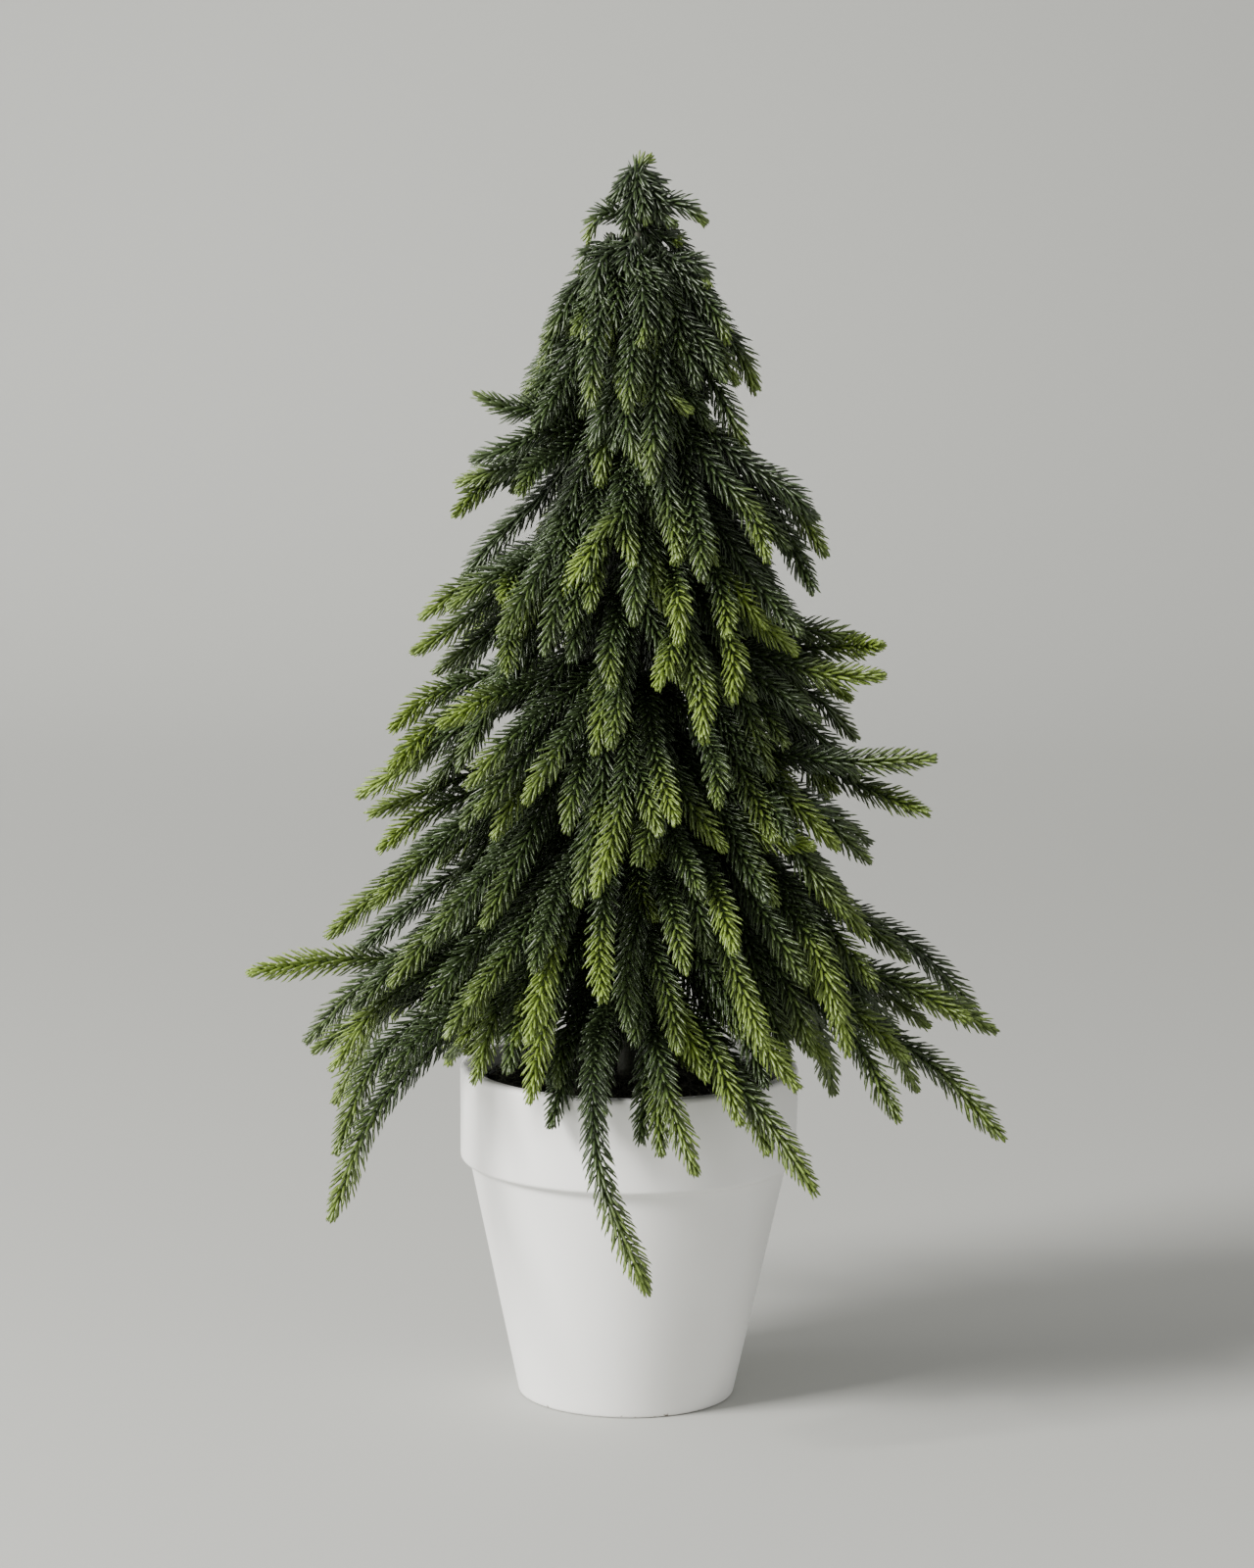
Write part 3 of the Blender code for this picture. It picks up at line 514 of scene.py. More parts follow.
class Wire:
    def __init__(self, net, socket):
        self.net = net
        self.socket = socket

    def join(self, operation, first, second):
        return self.net.add("ShaderNodeMath", {"operation": operation}, {0: first, 1: second})

    def __add__(self, other):
        return self.join("ADD", self, other)

    def __radd__(self, other):
        return self.join("ADD", other, self)

    def __sub__(self, other):
        return self.join("SUBTRACT", self, other)

    def __rsub__(self, other):
        return self.join("SUBTRACT", other, self)

    def __mul__(self, other):
        return self.join("MULTIPLY", self, other)


class Net:
    def __init__(self, name):
        self.material = bpy.data.materials.new(name)
        self.material.use_nodes = True
        self.tree = self.material.node_tree
        self.shader = self.tree.nodes["Principled BSDF"]

    # any node: its settings first, then values or links by input name or number
    def add(self, kind, settings=None, values=None, out=0):
        node = self.tree.nodes.new(kind)
        for key, value in (settings or {}).items():
            setattr(node, key, value)
        for key, value in (values or {}).items():
            self.put(node.inputs[key], value)
        return Wire(self, node.outputs[out])

    def put(self, socket, value):
        if isinstance(value, Wire):
            self.tree.links.new(value.socket, socket)
        else:
            socket.default_value = value

    def set(self, name, value):
        self.put(self.shader.inputs[name], value)

    def coords(self):
        return self.add("ShaderNodeTexCoord", out="Object")

    def attribute(self, name):
        return self.add("ShaderNodeAttribute", {"attribute_name": name}, out="Fac")

    def noise(self, vector, scale, detail=3.0, roughness=0.55):
        values = {"Vector": vector, "Scale": scale, "Detail": detail, "Roughness": roughness}
        return self.add("ShaderNodeTexNoise", values=values)

    # first where factor is 0, second where it is 1
    def mix(self, factor, first, second):
        node = self.tree.nodes.new("ShaderNodeMix")
        node.data_type = "RGBA"
        self.put(node.inputs[0], factor)
        self.put(node.inputs[6], first)
        self.put(node.inputs[7], second)
        return Wire(self, node.outputs[2])

    # 0 below low, 1 above high, smooth between
    def step(self, value, low, high):
        values = {"Value": value, "From Min": low, "From Max": high}
        return self.add("ShaderNodeMapRange", {"interpolation_type": "SMOOTHSTEP"}, values)

    # each colour times a value
    def scaled(self, tint, value):
        tint = tint if isinstance(tint, Wire) else tint[:3]
        grey = self.add("ShaderNodeCombineXYZ", values={0: value, 1: value, 2: value})
        return self.add("ShaderNodeVectorMath", {"operation": "MULTIPLY"}, {0: tint, 1: grey})

    def bump(self, height, distance, strength=1.0):
        values = {"Height": height, "Distance": distance, "Strength": strength}
        self.set("Normal", self.add("ShaderNodeBump", values=values))


# a fourth number, as a colour socket takes
def colour(red, green, blue):
    return (red, green, blue, 1.0)


# finishes of one grain each: two colours, the grain's scale, shades and roughness at its low and
# high, and its depth in metres
finishes = {
    "bound_wire": ((0.030, 0.024, 0.014), (0.020, 0.035, 0.014), 500.0, (0.90, 0.90), (0.60, 0.85), 0.0002),
    "bed": ((0.020, 0.017, 0.010), (0.014, 0.020, 0.009), 180.0, (0.60, 1.50), (0.75, 0.95), 0.0006),
    "fibres": ((0.034, 0.032, 0.018), (0.014, 0.020, 0.009), 180.0, (0.60, 1.50), (0.75, 0.95), 0.0006),
    "crepe_tape": ((0.030, 0.024, 0.015), (0.018, 0.030, 0.012), 700.0, (0.95, 0.95), (0.55, 0.85), 0.00025),
    "rod_steel": ((0.30, 0.29, 0.28), (0.30, 0.29, 0.28), 600.0, (0.85, 1.15), (0.30, 0.50), 0.0002),
    "set_plaster": ((0.62, 0.60, 0.56), (0.62, 0.60, 0.56), 250.0, (0.85, 1.15), (0.75, 0.95), 0.0002),
    "wet_foam": ((0.10, 0.16, 0.07), (0.10, 0.16, 0.07), 1200.0, (0.85, 1.15), (0.80, 1.00), 0.0002),
}


# colour = a mix of the two by the grain, times a shade that the grain moves, as it moves the roughness
def grainMaterial(name, metallic=0.0):
    first, second, scale, shade, roughness, depth = finishes[name]
    net = Net(name)
    grain = net.noise(net.coords(), scale, 4.0)
    tint = net.mix(grain, colour(*first), colour(*second))
    net.set("Base Color", net.scaled(tint, shade[0] + grain * (shade[1] - shade[0])))
    net.set("Roughness", roughness[0] + grain * (roughness[1] - roughness[0]))
    net.set("Metallic", metallic)
    net.bump(grain, depth)
    return net.material


# ---- meshes from whole arrays

cellMargin = 0.12  # left free on each side of a map cell, as a share of the cell


class Pile:
    def __init__(self):
        self.points, self.faces, self.slots, self.marks = [], [], [], {}
        self.count = 0
        self.places, self.cells, self.cellCount = [], [], 0

    # faces is an array of rows of 3 or 4 corners; marks are one number for each point;
    # places is an array for each in faces, of each corner's place from 0 to 1 in its shape's own map cell
    def add(self, points, faces, slot=0, shapes=1, places=None, **marks):
        self.points.append(points)
        for rows in faces:
            self.faces.append(rows + self.count)
            self.slots.append(np.full(len(rows), slot))
        for rows, place in zip(faces, places or []):
            cell = np.repeat(self.cellCount + np.arange(shapes), rows.size // shapes)
            self.cells.append(cell)
            self.places.append(np.tile(place.reshape(-1, 2), (shapes, 1)))
        self.cellCount += shapes
        for key, value in marks.items():
            self.marks.setdefault(key, []).append(np.broadcast_to(value, len(points)))
        self.count += len(points)

    def build(self, name, materials):
        mesh = bpy.data.meshes.new(name)
        points = np.concatenate(self.points).astype(np.float32)
        corners = np.concatenate([rows.ravel() for rows in self.faces]).astype(np.int32)
        sizes = np.concatenate([np.full(len(rows), rows.shape[1]) for rows in self.faces])
        starts = np.concatenate([[0], np.cumsum(sizes)[:-1]]).astype(np.int32)
        mesh.vertices.add(len(points))
        mesh.vertices.foreach_set("co", points.ravel())
        mesh.loops.add(len(corners))
        mesh.loops.foreach_set("vertex_index", corners)
        mesh.polygons.add(len(sizes))
        mesh.polygons.foreach_set("loop_start", starts)
        mesh.polygons.foreach_set("use_smooth", np.ones(len(sizes), bool))
        mesh.polygons.foreach_set("material_index", np.concatenate(self.slots).astype(np.int32))
        for key, parts in self.marks.items():
            layer = mesh.attributes.new(key, "FLOAT", "POINT")
            layer.data.foreach_set("value", np.concatenate(parts).astype(np.float32))
        if self.places:
            self.mapCells(mesh)
        mesh.update(calc_edges=True)
        mesh.validate()
        obj = bpy.data.objects.new(name, mesh)
        bpy.context.scene.collection.objects.link(obj)
        for material in materials:
            mesh.materials.append(material)
        return obj

    # the map is a square grid with a cell for each shape, and a corner's place is its cell's corner plus
    # its own place times the cell's side, less a margin
    def mapCells(self, mesh):
        side = math.ceil(math.sqrt(self.cellCount))
        cells = np.concatenate(self.cells)
        corner = np.stack([cells % side, cells // side], -1)
        places = cellMargin + (1 - 2 * cellMargin) * np.concatenate(self.places)
        layer = mesh.uv_layers.new(name="OFBake", do_init=False)
        layer.uv.foreach_set("vector", ((corner + places) / side).astype(np.float32).ravel())


# where each quad of a grid of rows x columns lies in its map cell: columns across, rows up
def gridPlaces(rows, columns, low=0.0, high=1.0):
    row = np.arange(rows - 1)[:, None] + np.zeros(columns)
    column = np.arange(columns)[None, :] + np.zeros((rows - 1, 1))
    corners = ((column, row), (column + 1, row), (column + 1, row + 1), (column, row + 1))
    height = high - low
    places = [np.stack([across / columns, low + height * up / (rows - 1)], -1) for across, up in corners]
    return np.stack(places, -2).reshape(-1, 4, 2)


# where each triangle of a fan round a pole lies: its two ring corners on one height, the pole on another
def fanPlaces(columns, ringAt, poleAt):
    here = np.arange(columns) / columns
    after = here + 1 / columns
    corners = ((here, ringAt), (after, ringAt), ((here + after) / 2, poleAt))
    return np.stack([np.stack([across, np.full(columns, up)], -1) for across, up in corners], -2)


# quads of a grid of rows x columns of points whose columns close into a ring
def ringQuads(rows, columns):
    row = np.arange(rows - 1)[:, None] * columns
    here = np.arange(columns)[None, :]
    after = (here + 1) % columns
    corners = (row + here, row + after, row + columns + after, row + columns + here)
    return np.stack([np.broadcast_to(c, (rows - 1, columns)) for c in corners], -1).reshape(-1, 4)


# faces of a grid of rings that is closed by a pole before its first ring and one after its last,
# which are the last two points
def cappedRings(rows, columns):
    here = np.arange(columns)
    after = (here + 1) % columns
    start = np.stack([here, after, np.full(columns, rows * columns)], -1)
    base = (rows - 1) * columns
    end = np.stack([base + after, base + here, np.full(columns, rows * columns + 1)], -1)
    return [ringQuads(rows, columns)[:, ::-1], start, end]


# each (radius, z) of a profile at every step round the axis, moved by the ripple
def spunPoints(profile, columns, ripple):
    angles = 2 * math.pi * np.arange(columns) / columns
    radius = profile[:, :1] + np.zeros((1, columns))
    height = profile[:, 1:] + np.zeros((1, columns))
    radius, height = ripple(radius, height, angles[None, :])
    return np.stack([radius * np.cos(angles), radius * np.sin(angles), height], -1).reshape(-1, 3)


# spins a profile of (radius, z) that starts and ends on the axis
def turnedSurface(profile, columns, ripple):
    profile = np.array(profile)
    ring = spunPoints(profile[1:-1], columns, ripple)
    poles = np.array([[0, 0, profile[0, 1]], [0, 0, profile[-1, 1]]])
    return np.concatenate([ring, poles]), cappedRings(len(profile) - 2, columns)


# rows of 3 numbers, known at some distances, read off between them
def readAlong(rows, known, wanted):
    return np.stack([np.interp(wanted, known, rows[:, k]) for k in range(3)], -1)


# evenly spaced points on a smooth curve through the given ones, and its length
def smoothLine(points, spacing):
    before = 2 * points[0] - points[1]
    after = 2 * points[-1] - points[-2]
    whole = np.concatenate([[before], points, [after]])
    t = np.linspace(0, 1, 12, endpoint=False)[:, None]
    parts = []
    for a, b, c, d in zip(whole, whole[1:], whole[2:], whole[3:]):
        square, cube = 2 * a - 5 * b + 4 * c - d, 3 * b - a - 3 * c + d
        parts.append(0.5 * (2 * b + (c - a) * t + square * t**2 + cube * t**3))
    fine = np.concatenate([*parts, points[-1:]])
    along = np.concatenate([[0], np.cumsum(np.linalg.norm(np.diff(fine, axis=0), axis=1))])
    count = max(int(along[-1] / spacing), 3)
    even = np.linspace(0, along[-1], count + 1)
    return readAlong(fine, along, even), along[-1]


# unit directions along, across and up at each point of a line that bends in nearly one plane
def lineFrames(line):
    along = np.gradient(line, axis=0)
    along /= np.linalg.norm(along, axis=1)[:, None]
    chord = line[-1] - line[0]
    across = np.cross(chord, [0.0, 0.0, 1.0])
    if np.linalg.norm(across) < 0.15 * np.linalg.norm(chord):
        across = np.array([0.0, 1.0, 0.0])
    across = across - along * (along @ across)[:, None]
    across /= np.linalg.norm(across, axis=1)[:, None]
    return along, across, np.cross(across, along)


# rings of points round a line, with a point at each end
def tube(line, radii, columns):
    along, across, up = lineFrames(line)
    angles = 2 * math.pi * np.arange(columns) / columns
    around = np.cos(angles)[None, :, None] * across[:, None] + np.sin(angles)[None, :, None] * up[:, None]
    ring = (line[:, None] + radii[:, None, None] * around).reshape(-1, 3)
    ends = np.array([line[0] - along[0] * radii[0], line[-1] + along[-1] * radii[-1]])
    places = [gridPlaces(len(line), columns, 0.1, 0.9)[:, ::-1]]
    places += [fanPlaces(columns, 0.1, 0.0), fanPlaces(columns, 0.9, 1.0)[:, [1, 0, 2]]]
    return np.concatenate([ring, ends]), cappedRings(len(line), columns), places


# ---- foliage

foliage = {
    "seed": 31,
    "needleLength": 0.0100,
    "needleWidth": 0.00132,
    "needleThickness": 0.00080,
    "whorlPitch": 0.0026,
    "whorlSize": 7,
    "budNeedles": 7,
    "rootAngle": 52.0,  # between needle and sprig at the needle's root, in degrees
    "tipAngle": 24.0,
    "crownLength": 0.014,  # the end of a sprig, where needles close up round the bud
    "crownOver": 0.0040,  # how far the last needles reach past the sprig's core
    "coreRadius": 0.0010,
    "bareRoot": 0.004,
    "wobble": 4.0,
    "sway": 0.0012,
    "innerSprigs": 5,
    "moreHigh": 3,  # on a bough whose tips are above this percent of the foliage's height
    "highFrom": 55,
    "crownSprigs": 9,
    "innerMost": 0.56,
    "innerReach": (0.45, 0.95),
    "innerTurn": 65.0,
    "hingedSprigs": 2,  # on a bough that moves: few, near its middle, and clear of the pot
    "hingedTurn": 15.0,
    "hingedRise": 0.016,
    "innerSlope": (0.45, 1.10),
    "dark": (0.018, 0.028, 0.012),
    "middle": (0.036, 0.060, 0.017),
    "young": (0.165, 0.240, 0.034),
}

# how yellow each sprig of a bough is; others are drawn at random
youths = {
    "bough_06_front": (0.5, 0.4, 1.0, 0.4),
    "bough_07_left": (0.55, 0.4, 0.6, 0.5),
    "bough_08_right": (1.0, 0.9, 0.95, 0.5),
    "bough_09_right": (0.9, 0.8, 0.4, 0.5),
    "bough_10_front": (0.75, 0.9, 0.8, 0.4),
    "bough_11_left": (0.8, 0.85, 0.7, 0.75),
    "bough_12_front": (0.5, 0.8, 0.4, 0.3),
    "bough_13_front": (0.75, 0.3, 0.3, 0.2),
    "bough_14_right": (0.5, 0.5, 0.3, 0.75),
    "bough_15_left": (0.5, 0.6, 0.4, 0.5),
    "bough_16_right": (0.8, 0.4, 0.5, 0.4),
    "bough_17_front": (0.8, 0.7, 0.4, 0.3),
    "bough_18_front": (0.2, 0.35, 0.85, 0.9),
    "bough_19_right": (0.8, 0.85, 0.4, 0.3),
    "bough_21_front": (1.0, 0.5, 0.5, 0.4),
    "bough_22_front": (0.85, 0.95, 0.5, 0.3),
    "low_bough_left": (0.95, 0.7, 0.4, 0.5),
    "low_bough_right": (0.6, 0.45, 0.5, 0.4),
    "low_bough_front": (0.55, 0.6, 0.65, 0.7),
}


# each needle: base point, sprig's direction, outward direction, length, angles at root and tip
def needleSpots(line, length, spec, rng, bareRoot):
    along, across, up = lineFrames(line)
    distance = np.linspace(0, length, len(line))
    whorls = np.arange(bareRoot, length, spec["whorlPitch"])
    s = np.repeat(whorls, spec["whorlSize"]) + rng.normal(0, 0.00018, len(whorls) * spec["whorlSize"])
    s = np.clip(s, 0, length)
    order = np.tile(np.arange(spec["whorlSize"]), len(whorls))
    turn = np.repeat(np.arange(len(whorls)) % 2, spec["whorlSize"]) * 0.5
    angle = 2 * math.pi * (order + turn) / spec["whorlSize"] + rng.normal(0, 0.06, len(s))
    budCount = spec["budNeedles"]
    s = np.concatenate([s, np.full(budCount, length)])
    angle = np.concatenate([angle, rng.uniform(0, 2 * math.pi, budCount)])
    base, t, a, u = (readAlong(rows, distance, s) for rows in (line, along, across, up))
    out = np.cos(angle)[:, None] * a + np.sin(angle)[:, None] * u
    left = length - s
    crown = np.clip(left / spec["crownLength"], 0, 1)
    size = spec["needleLength"] * (0.66 + 0.34 * crown) * rng.normal(1, 0.04, len(s))
    size *= np.clip(0.75 + 0.25 * (s - bareRoot) / 0.010, 0.75, 1)
    opening = 0.42 + 0.58 * crown**0.7
    wobble = rng.normal(0, math.radians(spec["wobble"]), len(s))
    rootAngle = math.radians(spec["rootAngle"]) * opening + wobble
    tipAngle = math.radians(spec["tipAngle"]) * opening + 0.6 * wobble
    rootAngle[-budCount:] = rng.uniform(0.1, 0.5, budCount)
    tipAngle[-budCount:] = rootAngle[-budCount:] * 0.6
    return base, t, out, size, rootAngle, tipAngle, s / length


# a needle bends from its root angle to its tip angle; four sides, blunt tip
def needleMesh(pile, spots, spec, age, luck):
    base, t, out, size, rootAngle, tipAngle, _ = spots
    count = len(base)
    shares = np.array([0.0, 0.38, 0.84])
    widths = np.array([0.50, 1.0, 0.82]) * spec["needleWidth"] / 2
    side = np.cross(t, out)
    rings = []
    corners = [(1, 0), (0, 1), (-1, 0), (0, -1)]
    for share, width in zip(shares, widths):
        lean = rootAngle + (tipAngle - rootAngle) * share / 2
        centre = base + (size * share)[:, None] * (np.cos(lean)[:, None] * t + np.sin(lean)[:, None] * out)
        now = rootAngle + (tipAngle - rootAngle) * share
        upward = np.cos(now)[:, None] * out - np.sin(now)[:, None] * t
        thick = width * spec["needleThickness"] / spec["needleWidth"]
        for across, over in corners:
            rings.append(centre + across * width * side + over * thick * upward)
    lean = (rootAngle + tipAngle) / 2
    tip = base + size[:, None] * (np.cos(lean)[:, None] * t + np.sin(lean)[:, None] * out)
    points = np.stack([*rings, tip], 1)
    perNeedle = points.shape[1]
    quads = ringQuads(3, 4)[:, ::-1]
    caps = np.array([[8, 9, 12], [9, 10, 12], [10, 11, 12], [11, 8, 12]])[:, ::-1]
    root = np.array([[0, 1, 2, 3]])
    offset = (np.arange(count) * perNeedle)[:, None, None]
    faces = [(rows[None] + offset).reshape(-1, rows.shape[1]) for rows in (quads, caps, root)]
    rootPlace = np.array([[[0.0, 0.0], [1.0, 0.0], [1.0, 0.06], [0.0, 0.06]]])
    places = [gridPlaces(3, 4, 0.08, 0.8)[:, ::-1], fanPlaces(4, 0.8, 1.0)[:, ::-1], rootPlace]
    lighter = np.array([0.0] * 4 + [0.03] * 4 + [0.08] * 4 + [0.10])
    ages = (age[:, None] + lighter[None, :]).ravel()
    marks = {"age": ages, "luck": np.repeat(luck, perNeedle)}
    pile.add(points.reshape(-1, 3), faces, 0, count, places, **marks)


# old at the root, young at the tip, more so on a yellow sprig
def ageAlong(share, youth):
    rise = np.clip((share - 0.45) / 0.55, 0, 1)
    rise = rise * rise * (3 - 2 * rise)
    return 0.10 + 0.20 * youth + rise * (0.22 + 0.62 * youth)


# short sprigs from a bough's wire, which fill the tree between the long ones; steeper towards the top
def innerLine(stem, azimuth, swings, spec, rng):
    start = stem[0] + rng.uniform(0.1, 1.0) * (stem[-1] - stem[0])
    widest = spec["hingedTurn"] if swings else spec["innerTurn"]
    turn = math.radians(azimuth + rng.uniform(-widest, widest))
    share = (start[2] - potHeight) / (treeHeight - potHeight)
    cone = min(0.03 + 1.15 * (1.1 - share), spec["innerMost"]) * foliageReach
    out = np.hypot(start[0], start[1]) + cone * rng.uniform(*spec["innerReach"])
    fall = rng.uniform(*spec["innerSlope"]) * (1 + 1.2 * share**2) * out
    lowest = potHeight + 0.008 if out < potRimRadius + 0.010 else potHeight - 0.010
    if swings:
        lowest = potHeight + spec["hingedRise"]
    height = max(start[2] - fall, min(lowest, start[2]))
    end = np.array([out * math.cos(turn), out * math.sin(turn), height])
    control = 0.5 * (start + end) + np.array([0, 0, rng.uniform(0.02, 0.12) * out])
    return curvePoints(start, control, end, linePoints)


# steep short sprigs just under the tree's top, which make it a point
def crownLines(top, spec, rng):
    made = []
    for count in range(spec["crownSprigs"]):
        turn = math.radians(137.5 * count + rng.uniform(-15, 15))
        start = top - np.array([0, 0, 0.0022 * (count % 4)])
        out = rng.uniform(0.008, 0.014) * (1 + 0.12 * (count % 4))
        end = np.array([out * math.cos(turn), out * math.sin(turn), start[2] - rng.uniform(1.2, 1.7) * out])
        control = 0.5 * (start + end) + np.array([0, 0, 0.10 * out])
        made.append(curvePoints(start, control, end, linePoints))
    return made


# a thin core along a swaying line, with needles all round it
def addSprig(pile, points, youth, spec, rng, bareRoot, endYoung=True):
    chord = points[-1] - points[0]
    sway = rng.normal(0, spec["sway"], points.shape) * np.array([0.0, 0.6, 1.0, 0.8, 0.0])[:, None]
    end = points[-1] - chord * min(spec["crownOver"] / np.linalg.norm(chord), 0.3)
    points = np.concatenate([points[:-1] + sway[:-1], [end]])
    line, length = smoothLine(points, 0.0030)
    radii = spec["coreRadius"] * np.linspace(1.25, 0.7, len(line))
    share = np.linspace(0, 1, len(line))
    columns = 6
    corePoints, coreFaces, corePlaces = tube(line, radii, columns)
    coreAge = ageAlong(share, youth) * 0.6
    coreMarks = np.concatenate([np.repeat(coreAge, columns), coreAge[[0, -1]]])
    pile.add(corePoints, coreFaces, 0, 1, corePlaces, age=coreMarks, luck=0.4)
    spots = needleSpots(line, length, spec, rng, bareRoot)
    along = spots[-1] if endYoung else spots[-1] * 0.3
    age = ageAlong(along, youth) + rng.normal(0, 0.03, len(along))
    needleMesh(pile, spots, spec, age, rng.uniform(0, 1, len(along)))


# for each bough its stem, the listed sprigs and the inner ones
def makeFoliage(lines, materials):
    rng = np.random.default_rng(foliage["seed"])
    faces = 0
    for index, name in enumerate(lines.names):
        pile = Pile()
        rows = np.nonzero(lines.owner == index)[0]
        stem, stemLength = smoothLine(lines.points[rows[0]], 0.0030)
        stemPoints, stemFaces, stemPlaces = tube(stem, np.full(len(stem), 0.0016), 8)
        pile.add(stemPoints, stemFaces, 1, 1, stemPlaces, age=0.0, luck=0.5)
        addSprig(pile, lines.points[rows[0]], 0.1, foliage, rng, 0.35 * stemLength, False)
        listed = youths.get(name, ())
        for order, row in enumerate(rows[1:]):
            drawn = rng.uniform(0.05, 0.55)
            youth = listed[order] if order < len(listed) else drawn
            addSprig(pile, lines.points[row], youth, foliage, rng, foliage["bareRoot"])
        tips = lines.points[rows[1:], -1]
        azimuth = math.degrees(math.atan2(tips[:, 1].mean(), tips[:, 0].mean()))
        high = tips[:, 2].mean() > place(0, 0, foliage["highFrom"])[2]
        swings = name in hinged
        sprigs = foliage["innerSprigs"] + (foliage["moreHigh"] if high else 0)
        for count in range(foliage["hingedSprigs"] if swings else sprigs):
            middle = azimuth if name != "leader" else 140.0 * count
            inner = innerLine(lines.points[rows[0]], middle, swings, foliage, rng)
            addSprig(pile, inner, rng.uniform(0.0, 0.45), foliage, rng, foliage["bareRoot"])
        if name == "leader":
            for line in crownLines(lines.points[rows[1], 3], foliage, rng):
                addSprig(pile, line, rng.uniform(0.0, 0.3), foliage, rng, 0.001)
        obj = pile.build(f"foliage_{name}", materials)
        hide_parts(name)
        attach(obj, f"{name}_body" if name in hinged else "tree")
        faces += len(obj.data.polygons)
    print("foliage", len(lines.names), "boughs", faces, "faces")


# dark to middle to young by age and patches, times each needle's own luck and a fine grain
def foliageMaterial(spec):
    net = Net("needles")
    age = net.attribute("age")
    luck = net.attribute("luck")
    coords = net.coords()
    patch = net.noise(coords, 60.0, 2.0)
    fine = net.noise(coords, 900.0, 2.0)
    shifted = age + (patch - 0.5) * 0.25
    older = net.mix(net.step(shifted, 0.0, 0.45), colour(*spec["dark"]), colour(*spec["middle"]))
    green = net.mix(net.step(shifted, 0.40, 1.0), older, colour(*spec["young"]))
    net.set("Base Color", net.scaled(green, 0.75 + luck * 0.45 + (fine - 0.5) * 0.2))
    net.set("Roughness", 0.30 + fine * 0.14)
    net.set("Specular IOR Level", 0.65)
    net.bump(fine, 0.00006)
    return net.material


# ---- pot

pot = {
    "white": (0.885, 0.885, 0.858),
    # dark brown of the paint chips at the foot, which also stands in for painted contact shade there
    "chipAndContactShade": (0.20, 0.17, 0.13),
    "roughness": 0.42,
    "columns": 192,
    "lipRound": 0.0022,
    "ledgeRound": 0.0020,
    "baseRound": 0.0016,
    "floorCorner": 0.003,
    "wander": 0.00003,  # how far the hand-finished wall strays
}


# centre + radius * (cos, sin) between two angles in degrees
def arc(centre, radius, start, end, steps):
    angles = np.radians(np.linspace(start, end, steps + 1))
    return [(centre[0] + radius * math.cos(a), centre[1] + radius * math.sin(a)) for a in angles]


# evenly spaced points of a straight stretch, without its ends
def between(start, end, steps):
    return [tuple(p) for p in np.linspace(start, end, steps + 1)[1:-1]]


# floor, inner wall, lip, rim band, ledge, tapered wall and foot
def potProfile(spec):
    lip, ledgeRound, baseRound = spec["lipRound"], spec["ledgeRound"], spec["baseRound"]
    ledge = potHeight - rimBandHeight
    bandRadius = potRimRadius - 0.0004
    corner = spec["floorCorner"]
    inside = [(potInnerRadius(potFloor) - corner, potFloor)]
    inside.append((potInnerRadius(potFloor + corner), potFloor + corner))
    innerLip = arc((potInnerRadius(potHeight) + lip, potHeight - lip), lip, 180, 90, 6)
    outerLip = arc((potRimRadius - lip, potHeight - lip), lip, 90, 0, 8)
    lower = arc((bandRadius - ledgeRound, ledge + ledgeRound), ledgeRound, 0, -80, 7)
    neck = [(potNeckRadius + 0.0006, ledge - 0.0004), (potNeckRadius, ledge - 0.0011)]
    neck.append((potNeckRadius - 0.0002, ledge - 0.0022))
    base = arc((potBaseRadius - baseRound, baseRound), baseRound, -12, -90, 6)
    profile = [(0.0, potFloor), *inside, *between(inside[1], innerLip[0], 10), *innerLip, *outerLip]
    profile += [*between(outerLip[-1], lower[0], 12), *lower, *neck, *between(neck[-1], base[0], 24), *base]
    profile += [*between(base[-1], (0.0, 0.0), 6), (0.0, 0.0)]
    return profile


# the profile spun round the axis
def makePot(material):
    # two sines round the wall and up it, none at the foot
    def ripple(radius, height, angles):
        wander = np.sin(2 * angles + 1.0 + 20 * height) + 0.6 * np.sin(3 * angles + 2.2 - 31 * height)
        sunk = np.clip(height / 0.004, 0, 1)
        return radius - pot["wander"] * (1.6 - wander) * sunk, height

    pile = Pile()
    points, faces = turnedSurface(potProfile(pot), pot["columns"], ripple)
    pile.add(points, faces)
    obj = pile.build("flowerpot", [material])
    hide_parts("pot")
    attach(obj, "tree")
    print("pot", len(obj.data.polygons), "faces")


# white with a broad tint, fine roughness, and dark specks where a noise is high near the foot: partly paint
# chips, partly painted contact shade where the pot meets the floor
def potMaterial(spec):
    net = Net("white_pot")
    coords = net.coords()
    height = net.add("ShaderNodeSeparateXYZ", values={0: coords}, out="Z")
    broad = net.noise(coords, 14.0, 3.0)
    grain = net.noise(coords, 420.0, 4.0)
    speck = net.noise(coords, 260.0, 2.0)
    # the lowest two millimetres: dark specks, partly paint chips and partly painted shade along the line
    # where the pot meets the floor
    low = 1.0 - net.step(height, 0.0004, 0.0020)
    chipsAndContactShade = low * net.step(speck, 0.60, 0.66)
    white = net.mix(net.step(broad, 0.3, 0.75), colour(*spec["white"]), colour(0.835, 0.83, 0.80))
    net.set("Base Color", net.mix(chipsAndContactShade, white, colour(*spec["chipAndContactShade"])))
    net.set("Roughness", spec["roughness"] + (grain - 0.5) * 0.12 + chipsAndContactShade * 0.3)
    net.bump(grain * 0.5 + broad * 0.8, 0.00015, 0.5)
    return net.material


# ---- fibre cover and its loose fibres

cover = {
    "seed": 5,
    "columns": 120,
    "rows": 40,
    "lump": 0.0016,
    "fibres": 900,
    "fibreRadius": 0.00022,
}


